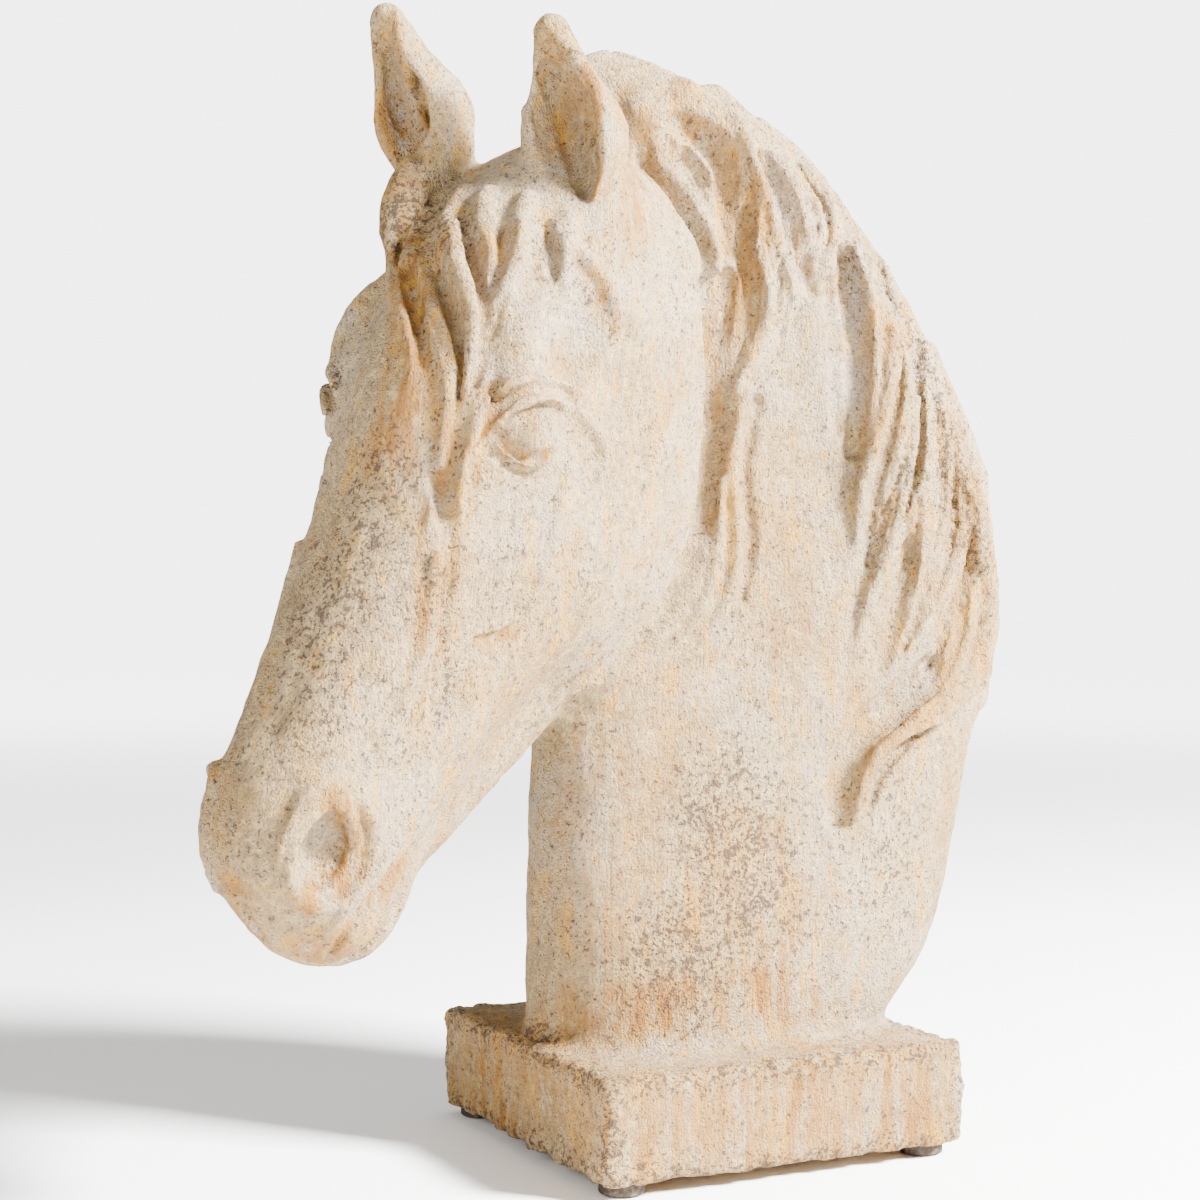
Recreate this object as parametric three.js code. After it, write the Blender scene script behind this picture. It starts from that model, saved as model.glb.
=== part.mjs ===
// A cast horse's head and neck on a square plinth, standing on four round pads.
// Millimetres, +Z up. The horse faces -Y and its left side is +X. The origin is at the
// middle of the bounding box, at the height of the surface that the pads stand on.
import * as THREE from "three";

// Driving dimensions
const PLINTH_SIDE = 152;
const PLINTH_HEIGHT = 38;
const PLINTH_ROUNDING = 4;
const PAD_DIAMETER = 17;
const PAD_HEIGHT = 4.5;
const PAD_ROUNDING = 0.8;
const PAD_INSET = 12;
const PAD_GAP = 0.3;
const NECK_HEIGHT = 378;
const HEAD_LENGTH = 300;
const EAR_LENGTH = 70;

// The head's pose, in degrees: turned to its left, nodded below the level, tilted over
const HEAD_TURN = 22;
const HEAD_NOD = 60.5;
const HEAD_TILT = -11;

// How widely the forms flow into each other
const CREST_ROUNDING = 40;
const VALLEY_BLEND = 24;
const THROAT_BLEND = 16;
const HEAD_BLEND = 10;
const EAR_BLEND = 8;
const FOOT_FILLET = 9;
const FOOT_SINK = 6;
const LOCK_BLEND = 4;

// Fineness of the faceted surface
const CELL = 4.2;
const CAST_TRIANGLES = 8800;

const radians = THREE.MathUtils.degToRad;
const clamp = THREE.MathUtils.clamp;
const plinthTop = PAD_HEIGHT + PLINTH_HEIGHT;

// Distances, below zero inside. A join or a cut is rounded over a width of k.
function join(a, b, k) {
  const h = Math.max(k - Math.abs(a - b), 0);
  return Math.min(a, b) - (h * h) / (4 * k);
}

function cut(a, b, k) {
  return -join(-a, b, k);
}

// An ellipsoid by its middle and its three radii
function blob([cx, cy, cz], [rx, ry, rz]) {
  const smallest = Math.min(rx, ry, rz);
  return (x, y, z) => {
    const [u, v, w] = [(x - cx) / rx, (y - cy) / ry, (z - cz) / rz];
    const reach = Math.sqrt(u * u + v * v + w * w);
    const slope = Math.hypot(u / rx, v / ry, w / rz);
    return slope > 0 ? (reach * (reach - 1)) / slope : -smallest;
  };
}

// A round bar from one point to another, tapering, its third axis squeezed by flat
function bar([ax, ay, az], [bx, by, bz], startRadius, endRadius, flat = 1) {
  const [dx, dy, dz] = [bx - ax, by - ay, (bz - az) / flat];
  const lengthSquared = dx * dx + dy * dy + dz * dz;
  return (x, y, z) => {
    const [px, py, pz] = [x - ax, y - ay, (z - az) / flat];
    const t = clamp((px * dx + py * dy + pz * dz) / lengthSquared, 0, 1);
    const far = Math.hypot(px - t * dx, py - t * dy, pz - t * dz);
    return (far - startRadius - (endRadius - startRadius) * t) * Math.min(1, flat);
  };
}

// A lock of hair: a strand along a curve, thickest before its middle and thin at its tip
const LOCK_STEPS = 7;
function lock(points, thickness) {
  const curve = new THREE.CatmullRomCurve3(points);
  const girth = (t) => thickness * (0.25 + 0.75 * Math.sin(Math.PI * (0.2 + 0.8 * t)));
  const pieces = [];
  for (let i = 0; i < LOCK_STEPS; i++) {
    const [t, next] = [i / LOCK_STEPS, (i + 1) / LOCK_STEPS];
    pieces.push(bar(curve.getPoint(t).toArray(), curve.getPoint(next).toArray(), girth(t), girth(next)));
  }
  const { center, radius } = new THREE.Box3().setFromPoints(points).getBoundingSphere(new THREE.Sphere());
  return (x, y, z) => {
    const outside = Math.hypot(x - center.x, y - center.y, z - center.z) - radius;
    if (outside > 3 * thickness) return outside;
    let nearest = Infinity;
    for (const piece of pieces) nearest = Math.min(nearest, piece(x, y, z));
    return nearest;
  };
}

function joinAll(f, shapes, x, y, z, k) {
  for (const shape of shapes) f = join(f, shape(x, y, z), k);
  return f;
}

// Where a distance goes through zero between an inside and an outside value
function crossingOf(distance, inside, outside) {
  if (distance(inside) > 0) return inside;
  for (let i = 0; i < 24; i++) {
    const middle = (inside + outside) / 2;
    if (distance(middle) < 0) inside = middle;
    else outside = middle;
  }
  return inside;
}

// The head. Its axes are a, along the face from the poll to the lips, d, out of the
// forehead, and l, to its left. All its numbers are shares of HEAD_LENGTH.
const cranium = blob([0.15, -0.12, 0], [0.2, 0.13, 0.142]);
const forehead = blob([0.31, -0.1, 0], [0.2, 0.13, 0.137]);
const nose = bar([0.4, -0.115, 0], [0.88, -0.11, 0], 0.116, 0.084, 0.74);
const faceEdge = bar([0.42, -0.08, 0.075], [0.84, -0.075, 0.04], 0.05, 0.042);
const faceSide = bar([0.45, -0.25, 0.045], [0.84, -0.17, 0.03], 0.1, 0.062);
const muzzle = blob([0.895, -0.145, 0], [0.085, 0.11, 0.076]);
const upperLip = blob([0.945, -0.19, 0], [0.056, 0.08, 0.06]);
const chin = blob([0.91, -0.252, 0], [0.054, 0.042, 0.05]);
const cheek = blob([0.31, -0.345, 0.084], [0.235, 0.255, 0.085]);
const nape = blob([0.1, -0.28, 0.077], [0.17, 0.22, 0.08]);
const jawBar = bar([0.45, -0.4, 0], [0.88, -0.24, 0], 0.115, 0.062, 0.72);
const brow = blob([0.32, -0.05, 0.118], [0.085, 0.045, 0.042]);
const eyeSocket = blob([0.405, -0.06, 0.162], [0.05, 0.03, 0.028]);
const eyeBall = blob([0.395, -0.075, 0.122], [0.042, 0.036, 0.036]);
const cheekbone = bar([0.44, -0.14, 0.122], [0.64, -0.15, 0.082], 0.03, 0.012);
const nostrilWing = blob([0.9, -0.1, 0.06], [0.066, 0.06, 0.034]);
const nostril = blob([0.915, -0.09, 0.092], [0.05, 0.04, 0.034]);
const mouth = bar([1.02, -0.235, 0.02], [0.87, -0.245, 0.09], 0.012, 0.012);

const HEAD_FORMS = [
  [forehead, 0.08],
  [nose, 0.08],
  [faceSide, 0.05],
  [faceEdge, 0.05],
  [muzzle, 0.06],
  [cheek, 0.07],
  [nape, 0.06],
  [jawBar, 0.06],
  [upperLip, 0.05],
  [chin, 0.04],
  [brow, 0.04],
  [cheekbone, 0.05],
  [nostrilWing, 0.03],
];

function skull(a, d, l) {
  const side = Math.abs(l);
  let f = cranium(a, d, side);
  for (const [form, blend] of HEAD_FORMS) f = join(f, form(a, d, side), blend);
  f = cut(f, eyeSocket(a, d, side), 0.02);
  f = join(f, eyeBall(a, d, side), 0.006);
  f = cut(f, nostril(a, d, side), 0.02);
  return cut(f, mouth(a, d, side), 0.02);
}

// The forelock, in strands that fall from the poll. Each point is along the face and to the left.
const FORELOCK_THICKNESS = 0.022;
const FORELOCK = [
  [[0.05, -0.12], [0.14, -0.135], [0.22, -0.135], [0.3, -0.11]],
  [[0.03, -0.09], [0.15, -0.09], [0.27, -0.04], [0.36, 0.03]],
  [[0.03, -0.05], [0.18, -0.03], [0.27, 0.05], [0.4, 0.1], [0.58, 0.1]],
  [[0.02, -0.01], [0.13, 0.01], [0.22, 0.06], [0.3, 0.07]],
  [[0.04, 0.04], [0.14, 0.06], [0.22, 0.08], [0.3, 0.1]],
  [[0.08, 0.08], [0.14, 0.11], [0.21, 0.12]],
];
const forelock = FORELOCK.map((points) =>
  lock(
    points.map(([a, l]) => new THREE.Vector3(a, crossingOf((d) => skull(a, d, l), -0.1, 0.2), l)),
    FORELOCK_THICKNESS,
  ),
);

function headShape(a, d, l) {
  return joinAll(skull(a, d, l), forelock, a, d, l, LOCK_BLEND / HEAD_LENGTH);
}

// An ear, in shares of its own length. It stands along a from its root and opens towards d.
const earShell = bar([0, 0, 0], [0.42, 0, 0], 0.18, 0.25, 0.95);
const earTip = bar([0.42, 0, 0], [0.97, 0.03, 0], 0.25, 0.075, 0.95);
const earHollow = bar([0.16, 0.2, 0], [0.7, 0.17, 0], 0.15, 0.1, 0.9);
const EAR_FRONT = 0.12;

function earShape(a, d, l) {
  const shell = Math.max(join(earShell(a, d, l), earTip(a, d, l), 0.1), d - EAR_FRONT);
  return cut(shell, earHollow(a, d, l), 0.06);
}

// A shape in a frame of its own, by an origin, a turned basis and the size of its unit
function placed(shape, origin, basis, size) {
  const [ax, ay, az, , dx, dy, dz, , lx, ly, lz] = basis.elements;
  return (x, y, z) => {
    const [px, py, pz] = [(x - origin.x) / size, (y - origin.y) / size, (z - origin.z) / size];
    return size * shape(px * ax + py * ay + pz * az, px * dx + py * dy + pz * dz, px * lx + py * ly + pz * lz);
  };
}

function turned(aroundX, aroundY, aroundZ) {
  return new THREE.Matrix4()
    .makeRotationZ(radians(aroundZ))
    .multiply(new THREE.Matrix4().makeRotationX(radians(aroundX)))
    .multiply(new THREE.Matrix4().makeRotationY(radians(aroundY)));
}

const forward = new THREE.Vector3(0, -1, 0);
const up = new THREE.Vector3(0, 0, 1);
const left = new THREE.Vector3(1, 0, 0);

// The head is nodded from the level, tilted about its own length and turned about the upright
const headBasis = turned(HEAD_NOD, -HEAD_TILT, HEAD_TURN).multiply(
  new THREE.Matrix4().makeBasis(forward, up, left),
);
const poll = new THREE.Vector3(0.0984 * NECK_HEIGHT, -0.2387 * NECK_HEIGHT, plinthTop + 0.9 * NECK_HEIGHT);
const head = placed(headShape, poll, headBasis, HEAD_LENGTH);

// The ears: each one's root on the head, and in degrees how far it leans forward from the
// upright and which way it faces, to the left of straight ahead
const EARS = [
  { root: [0.085, -0.07, 0.092], lean: 12, facing: 42 },
  { root: [0.07, -0.045, -0.118], lean: 18, facing: 20 },
];
const ears = EARS.map(({ root, lean, facing }) => {
  const at = new THREE.Vector3(...root).multiplyScalar(HEAD_LENGTH).applyMatrix4(headBasis).add(poll);
  const basis = new THREE.Matrix4()
    .makeRotationX(radians(lean))
    .multiply(new THREE.Matrix4().makeRotationZ(radians(facing)))
    .multiply(new THREE.Matrix4().makeBasis(up, forward, left));
  return placed(earShape, at, basis, EAR_LENGTH);
});

// The neck, by level sections. Each row is the height, the front, the back, half the width
// and how far the middle leans to the left, as shares of NECK_HEIGHT, then how much
// narrower the front is than the back, and how square the section is.
const NECK_SECTIONS = [
  [0.0, -0.165, 0.19, 0.125, 0, 0.05, 3],
  [0.08, -0.168, 0.262, 0.122, 0, 0.08, 2.8],
  [0.2, -0.168, 0.306, 0.118, 0, 0.12, 2.5],
  [0.33, -0.16, 0.336, 0.116, 0, 0.2, 2.3],
  [0.46, -0.15, 0.36, 0.112, 0, 0.3, 2.2],
  [0.6, -0.16, 0.338, 0.105, 0, 0.4, 2.2],
  [0.7, -0.17, 0.278, 0.098, 0.008, 0.4, 2.2],
  [0.8, -0.18, 0.192, 0.086, 0.02, 0.3, 2.2],
  [0.9, -0.19, 0.088, 0.072, 0.035, 0.2, 2.2],
  [1.0, -0.19, -0.05, 0.05, 0.045, 0.1, 2.2],
];

// The row at a height, smoothed by a cubic between its neighbours
function sectionAt(h) {
  const rows = NECK_SECTIONS;
  let i = 0;
  while (i < rows.length - 2 && h > rows[i + 1][0]) i++;
  const [low, high] = [rows[i], rows[i + 1]];
  const before = rows[Math.max(i - 1, 0)];
  const after = rows[Math.min(i + 2, rows.length - 1)];
  const span = high[0] - low[0];
  const t = clamp((h - low[0]) / span, 0, 1);
  const [t2, t3] = [t * t, t * t * t];
  return low.slice(1).map((value, c) => {
    const slopeLow = ((high[c + 1] - before[c + 1]) / (high[0] - before[0])) * span;
    const slopeHigh = ((after[c + 1] - value) / (after[0] - low[0])) * span;
    const start = (2 * t3 - 3 * t2 + 1) * value + (t3 - 2 * t2 + t) * slopeLow;
    return start + (3 * t2 - 2 * t3) * high[c + 1] + (t3 - t2) * slopeHigh;
  });
}

function neckSection(x, y, z) {
  const [front, back, half, lean, taper, square] = sectionAt((z - plinthTop) / NECK_HEIGHT);
  const reach = ((back - front) / 2) * NECK_HEIGHT;
  const v = (y - ((front + back) / 2) * NECK_HEIGHT) / reach;
  const width = half * NECK_HEIGHT * (1 + taper * clamp(v, -1, 0.3));
  const u = Math.abs(x - lean * NECK_HEIGHT) / width;
  const w = Math.abs(v);
  const g = Math.pow(Math.pow(u, square) + Math.pow(w, square), 1 / square);
  if (g < 1e-6) return -width;
  const slopeX = Math.pow(u / g, square - 1) / width;
  const slopeY = Math.pow(w / g, square - 1) / reach;
  return (g - 1) / Math.hypot(slopeX, slopeY);
}

// A point of the neck, by shares of NECK_HEIGHT: to the left, to the back and above the plinth
function neckPoint(x, y, h) {
  return [x * NECK_HEIGHT, y * NECK_HEIGHT, plinthTop + h * NECK_HEIGHT];
}

// The throat is a column down the front, and a valley runs between the jaw and the neck
const throat = bar(neckPoint(0, -0.116, 0), neckPoint(0, -0.11, 0.4), 0.06 * NECK_HEIGHT, 0.063 * NECK_HEIGHT);
const jawAngle = neckPoint(0.174, 0.084, 0.578);
const jawValleys = [
  bar(neckPoint(0.158, 0.026, 0.81), jawAngle, 0.037 * NECK_HEIGHT, 0.063 * NECK_HEIGHT),
  bar(jawAngle, neckPoint(0.168, -0.058, 0.34), 0.063 * NECK_HEIGHT, 0.053 * NECK_HEIGHT),
];

function bareNeck(x, y, z) {
  let f = join(neckSection(x, y, z), throat(x, y, z), THROAT_BLEND);
  for (const valley of jawValleys) f = cut(f, valley(x, y, z), VALLEY_BLEND);
  return cut(f, plinthTop + NECK_HEIGHT - z, CREST_ROUNDING);
}

// The mane's locks, which fall on the left side. Each point is to the back and up.
const LOCK_THICKNESS = 0.022 * NECK_HEIGHT;
const LOCK_SINK = 0.35 * LOCK_THICKNESS;
const MANE = [
  [[-0.11, 0.93], [-0.06, 0.88], [-0.03, 0.83], [-0.01, 0.77]],
  [[-0.06, 0.95], [0.0, 0.9], [0.03, 0.84], [0.02, 0.72], [-0.01, 0.61]],
  [[-0.02, 0.95], [0.04, 0.88], [0.06, 0.79], [0.03, 0.7]],
  [[0.03, 0.92], [0.09, 0.88], [0.11, 0.82], [0.08, 0.76]],
  [[0.1, 0.87], [0.15, 0.81], [0.15, 0.74], [0.18, 0.67]],
  [[0.15, 0.83], [0.2, 0.77], [0.23, 0.7]],
  [[0.14, 0.8], [0.18, 0.7], [0.18, 0.62], [0.15, 0.55], [0.13, 0.48]],
  [[0.21, 0.75], [0.24, 0.66], [0.2, 0.56], [0.15, 0.45], [0.13, 0.38]],
  [[0.26, 0.65], [0.23, 0.56], [0.19, 0.47], [0.13, 0.37]],
  [[0.25, 0.71], [0.28, 0.6], [0.26, 0.48], [0.16, 0.36]],
  [[0.29, 0.68], [0.34, 0.58], [0.36, 0.46], [0.32, 0.34], [0.18, 0.28], [0.115, 0.2]],
  [[0.3, 0.51], [0.27, 0.42], [0.23, 0.35], [0.18, 0.31]],
];

// The mane's roots show on the right as short strands over the crest
const ROOTS = 8;
for (let i = 0; i < ROOTS; i++) {
  const h = THREE.MathUtils.mapLinear(i, 0, ROOTS - 1, 0.93, 0.5);
  const crest = sectionAt(h)[1];
  MANE.push([[crest - 0.02, h, -1], [crest - 0.05, h - 0.05, -1], [crest - 0.06, h - 0.12, -1]]);
}

const mane = MANE.map((points) =>
  lock(
    points.map(([back, h, side = 1]) => {
      const [, y, z] = neckPoint(0, back, h);
      const x = crossingOf((reach) => bareNeck(side * reach, y, z), 0, NECK_HEIGHT / 4);
      return new THREE.Vector3(side * Math.max(x - LOCK_SINK, 0), y, z);
    }),
    LOCK_THICKNESS,
  ),
);

function plinth(x, y, z) {
  const inner = PLINTH_SIDE / 2 - PLINTH_ROUNDING;
  const qx = Math.abs(x) - inner;
  const qy = Math.abs(y) - inner;
  const qz = Math.abs(z - PAD_HEIGHT - PLINTH_HEIGHT / 2) - PLINTH_HEIGHT / 2 + PLINTH_ROUNDING;
  const outside = Math.hypot(Math.max(qx, 0), Math.max(qy, 0), Math.max(qz, 0));
  return outside + Math.min(Math.max(qx, qy, qz), 0) - PLINTH_ROUNDING;
}

function cast(x, y, z) {
  let f = joinAll(bareNeck(x, y, z), mane, x, y, z, LOCK_BLEND);
  f = join(f, head(x, y, z), HEAD_BLEND);
  f = joinAll(f, ears, x, y, z, EAR_BLEND);
  f = Math.max(f, plinthTop - FOOT_SINK - z);
  return join(f, plinth(x, y, z), FOOT_FILLET);
}

// The surface of a shape inside a box, as a closed mesh. The box is a lattice of cubes, each
// cut into six tetrahedra, and the surface is flat inside each of them. Blocks of cubes that
// are far from the surface are passed over.
const BLOCK = 4;
const BLOCK_REACH = 1.8 * BLOCK * CELL;
const EDGE_SHARE = 0.02;
const CUBE_PATHS = [
  [0, 1, 2],
  [1, 2, 0],
  [2, 0, 1],
  [0, 2, 1],
  [2, 1, 0],
  [1, 0, 2],
];

function surfaceOf(shape, box) {
  const extent = box.getSize(new THREE.Vector3()).toArray();
  const [nx, ny, nz] = extent.map((length) => BLOCK * Math.ceil(length / CELL / BLOCK) + 1);
  const steps = [1, nx, nx * ny];
  const far = steps[0] + steps[1] + steps[2];
  const values = new Float64Array(nx * ny * nz).fill(NaN);
  const points = [];
  const faces = [];
  const crossings = new Map();

  const positionOf = (n) => [
    box.min.x + CELL * (n % nx),
    box.min.y + CELL * (Math.floor(n / nx) % ny),
    box.min.z + CELL * Math.floor(n / steps[2]),
  ];
  const sample = (i, j, k) => {
    const n = i + nx * j + steps[2] * k;
    if (Number.isNaN(values[n])) values[n] = shape(...positionOf(n));
    return values[n];
  };

  // The point where the surface crosses the edge between two lattice points
  const crossing = (inner, outer) => {
    const low = Math.min(inner, outer);
    const key = low * far * 2 + Math.abs(inner - outer);
    if (!crossings.has(key)) {
      const share = values[inner] / (values[inner] - values[outer]);
      const t = clamp(share, EDGE_SHARE, 1 - EDGE_SHARE);
      const [p, q] = [positionOf(inner), positionOf(outer)];
      crossings.set(key, points.length / 3);
      points.push(p[0] + t * (q[0] - p[0]), p[1] + t * (q[1] - p[1]), p[2] + t * (q[2] - p[2]));
    }
    return crossings.get(key);
  };

  const addTetrahedron = (corners, mirrored) => {
    const inside = corners.filter((n) => values[n] < 0);
    if (inside.length === 0 || inside.length === 4) return;
    const outside = corners.filter((n) => values[n] >= 0);
    const order = [...inside, ...outside].map((n) => corners.indexOf(n));
    let flipped = !mirrored;
    for (let i = 0; i < 4; i++) {
      for (let j = i + 1; j < 4; j++) if (order[i] > order[j]) flipped = !flipped;
    }
    const addFace = (a, b, c) => (flipped ? faces.push(a, c, b) : faces.push(a, b, c));
    const ring = [];
    if (inside.length === 2) {
      const [a, b] = inside;
      const [c, d] = outside;
      ring.push(crossing(a, c), crossing(a, d), crossing(b, d), crossing(b, c));
      addFace(ring[0], ring[2], ring[3]);
    } else {
      for (const a of inside) for (const b of outside) ring.push(crossing(a, b));
    }
    addFace(ring[0], ring[1], ring[2]);
  };

  const addCube = (i, j, k) => {
    const n = i + nx * j + steps[2] * k;
    CUBE_PATHS.forEach(([first, second], turn) => {
      const next = n + steps[first];
      addTetrahedron([n, next, next + steps[second], n + far], turn < 3);
    });
  };

  const eachIn = (size, [I, J, K], visit) => {
    for (let k = K; k < K + size; k++) {
      for (let j = J; j < J + size; j++) {
        for (let i = I; i < I + size; i++) visit(i, j, k);
      }
    }
  };
  for (let K = 0; K < nz - 1; K += BLOCK) {
    for (let J = 0; J < ny - 1; J += BLOCK) {
      for (let I = 0; I < nx - 1; I += BLOCK) {
        if (Math.abs(sample(I + BLOCK / 2, J + BLOCK / 2, K + BLOCK / 2)) > BLOCK_REACH) continue;
        eachIn(BLOCK + 1, [I, J, K], sample);
        eachIn(BLOCK, [I, J, K], addCube);
      }
    }
  }
  return { points, faces };
}

// A queue that gives the cheapest entry first
class Queue {
  entries = [];

  push(entry) {
    const { entries } = this;
    let i = entries.push(entry) - 1;
    while (i > 0) {
      const parent = (i - 1) >> 1;
      if (entries[parent].cost <= entry.cost) break;
      entries[i] = entries[parent];
      i = parent;
    }
    entries[i] = entry;
  }

  pop() {
    const { entries } = this;
    const top = entries[0];
    const last = entries.pop();
    const count = entries.length;
    if (count === 0) return top;
    let i = 0;
    while (2 * i + 1 < count) {
      let child = 2 * i + 1;
      if (child + 1 < count && entries[child + 1].cost < entries[child].cost) child++;
      if (entries[child].cost >= last.cost) break;
      entries[i] = entries[child];
      i = child;
    }
    entries[i] = last;
    return top;
  }
}

// Thins a closed mesh to a number of triangles. The edge whose loss moves the surface least
// goes first, and a small charge on its length keeps the triangles even.
const LENGTH_CHARGE = 1e-3;
const SMALLEST_AREA = 1e-3;
const SHARPEST_TURN = 0.25;

function thinned({ points, faces }, target) {
  const faceCount = faces.length / 3;
  const fans = Array.from({ length: points.length / 3 }, () => new Set());
  const ages = new Uint32Array(fans.length);
  const quadrics = new Float64Array(fans.length * 10);
  const alive = new Uint8Array(faceCount).fill(1);
  const queue = new Queue();

  const cornersOf = (f) => [faces[3 * f], faces[3 * f + 1], faces[3 * f + 2]];
  const pointOf = (v) => [points[3 * v], points[3 * v + 1], points[3 * v + 2]];
  const crossOf = ([p, q, r]) => {
    const [ux, uy, uz] = [q[0] - p[0], q[1] - p[1], q[2] - p[2]];
    const [vx, vy, vz] = [r[0] - p[0], r[1] - p[1], r[2] - p[2]];
    return [uy * vz - uz * vy, uz * vx - ux * vz, ux * vy - uy * vx];
  };
  const neighboursOf = (v) => {
    const found = new Set();
    for (const f of fans[v]) for (const w of cornersOf(f)) found.add(w);
    found.delete(v);
    return found;
  };

  // A quadric sums the squared distances from the planes of the faces around a point
  const errorAt = ([aa, ab, ac, ad, bb, bc, bd, cc, cd, dd], [x, y, z]) =>
    x * (aa * x + 2 * (ab * y + ac * z + ad)) + y * (bb * y + 2 * (bc * z + bd)) + z * (cc * z + 2 * cd) + dd;
  const lowestOf = ([aa, ab, ac, ad, bb, bc, bd, cc, cd]) => {
    const m = new THREE.Matrix3(aa, ab, ac, ab, bb, bc, ac, bc, cc);
    if (Math.abs(m.determinant()) < 1e-4 * (aa + bb + cc) ** 3) return null;
    return new THREE.Vector3(-ad, -bd, -cd).applyMatrix3(m.invert()).toArray();
  };
  const offer = (a, b) => {
    const quadric = Array.from({ length: 10 }, (_, i) => quadrics[10 * a + i] + quadrics[10 * b + i]);
    const [p, q] = [pointOf(a), pointOf(b)];
    const middle = p.map((value, i) => (value + q[i]) / 2);
    const length = Math.hypot(p[0] - q[0], p[1] - q[1], p[2] - q[2]);
    const choices = [middle, p, q];
    const lowest = lowestOf(quadric);
    if (lowest && Math.hypot(...lowest.map((value, i) => value - middle[i])) < length) choices.unshift(lowest);
    let [point, cost] = [middle, Infinity];
    for (const choice of choices) {
      const error = Math.max(errorAt(quadric, choice), 0);
      if (error < cost) [point, cost] = [choice, error];
    }
    queue.push({ a, b, point, cost: cost + LENGTH_CHARGE * length ** 2, ageA: ages[a], ageB: ages[b] });
  };
  const wouldTurnOver = (v, other, point) => {
    for (const f of fans[v]) {
      const corners = cornersOf(f);
      if (corners.includes(other)) continue;
      const before = crossOf(corners.map(pointOf));
      const after = crossOf(corners.map((w) => (w === v ? point : pointOf(w))));
      const dot = before[0] * after[0] + before[1] * after[1] + before[2] * after[2];
      const [was, is] = [Math.hypot(...before), Math.hypot(...after)];
      if (is < SMALLEST_AREA || (was > SMALLEST_AREA && dot < SHARPEST_TURN * is * was)) return true;
    }
    return false;
  };

  for (let f = 0; f < faceCount; f++) {
    const corners = cornersOf(f);
    const cross = crossOf(corners.map(pointOf));
    const size = Math.hypot(...cross) || 1e-12;
    const [a, b, c] = cross.map((value) => value / size);
    const [x, y, z] = pointOf(corners[0]);
    const d = -(a * x + b * y + c * z);
    const quadric = [a * a, a * b, a * c, a * d, b * b, b * c, b * d, c * c, c * d, d * d];
    for (const v of corners) {
      fans[v].add(f);
      for (let i = 0; i < 10; i++) quadrics[10 * v + i] += (quadric[i] * size) / 2;
    }
  }
  for (let f = 0; f < faceCount; f++) {
    const corners = cornersOf(f);
    corners.forEach((v, i) => {
      const next = corners[(i + 1) % 3];
      if (v < next) offer(v, next);
    });
  }

  let left = faceCount;
  while (left > target && queue.entries.length > 0) {
    const { a, b, point, ageA, ageB } = queue.pop();
    if (ages[a] !== ageA || ages[b] !== ageB) continue;
    const beside = neighboursOf(b);
    const shared = [...neighboursOf(a)].filter((v) => beside.has(v));
    if (shared.length !== 2 || wouldTurnOver(a, b, point) || wouldTurnOver(b, a, point)) continue;
    for (const f of fans[b]) {
      const corners = cornersOf(f);
      if (corners.includes(a)) {
        alive[f] = 0;
        left--;
        for (const v of corners) if (v !== b) fans[v].delete(f);
      } else {
        faces[3 * f + corners.indexOf(b)] = a;
        fans[a].add(f);
      }
    }
    fans[b].clear();
    [points[3 * a], points[3 * a + 1], points[3 * a + 2]] = point;
    for (let i = 0; i < 10; i++) quadrics[10 * a + i] += quadrics[10 * b + i];
    ages[a]++;
    ages[b]++;
    for (const v of neighboursOf(a)) offer(a, v);
  }
  const kept = [];
  for (let f = 0; f < faceCount; f++) if (alive[f]) kept.push(...cornersOf(f));
  return { points, faces: kept };
}

function geometryOf({ points, faces }) {
  const renumbered = new Map();
  const position = [];
  const index = faces.map((v) => {
    if (!renumbered.has(v)) {
      renumbered.set(v, position.length / 3);
      position.push(points[3 * v], points[3 * v + 1], points[3 * v + 2]);
    }
    return renumbered.get(v);
  });
  const geometry = new THREE.BufferGeometry();
  geometry.setAttribute("position", new THREE.Float32BufferAttribute(position, 3));
  geometry.setIndex(index);
  geometry.computeVertexNormals();
  return geometry;
}

// The box that is sampled reaches from the plinth's foot to the ear tips, with room to spare
const SIDE_ROOM = 1.5;
const HEAD_BOX = new THREE.Box3(new THREE.Vector3(0, -0.4, -0.2), new THREE.Vector3(1.03, 0, 0.2));
const headPoint = (share) => share.multiplyScalar(HEAD_LENGTH).applyMatrix4(headBasis).add(poll);
const sampled = new THREE.Box3(
  new THREE.Vector3(-PLINTH_SIDE / 2, -PLINTH_SIDE / 2, PAD_HEIGHT),
  new THREE.Vector3(PLINTH_SIDE / 2, PLINTH_SIDE / 2, plinthTop),
);
for (const [h, front, back, half] of NECK_SECTIONS) {
  sampled.expandByPoint(new THREE.Vector3(...neckPoint(-half * SIDE_ROOM, front, h)));
  sampled.expandByPoint(new THREE.Vector3(...neckPoint(half * SIDE_ROOM, back, h)));
}
for (const a of [HEAD_BOX.min.x, HEAD_BOX.max.x]) {
  for (const d of [HEAD_BOX.min.y, HEAD_BOX.max.y]) {
    for (const l of [HEAD_BOX.min.z, HEAD_BOX.max.z]) sampled.expandByPoint(headPoint(new THREE.Vector3(a, d, l)));
  }
}
for (const { root } of EARS) {
  const at = headPoint(new THREE.Vector3(...root));
  sampled.expandByPoint(at.clone().addScalar(EAR_LENGTH));
  sampled.expandByPoint(at.clone().subScalar(EAR_LENGTH));
}
sampled.expandByScalar(2 * CELL);

const model = new THREE.Group();

const castCement = new THREE.MeshStandardMaterial({ color: 0xd9cbb4, roughness: 0.9, metalness: 0 });
const bust = new THREE.Mesh(geometryOf(thinned(surfaceOf(cast, sampled), CAST_TRIANGLES)), castCement);
bust.name = "horse_head_cast";
model.add(bust);

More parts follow.
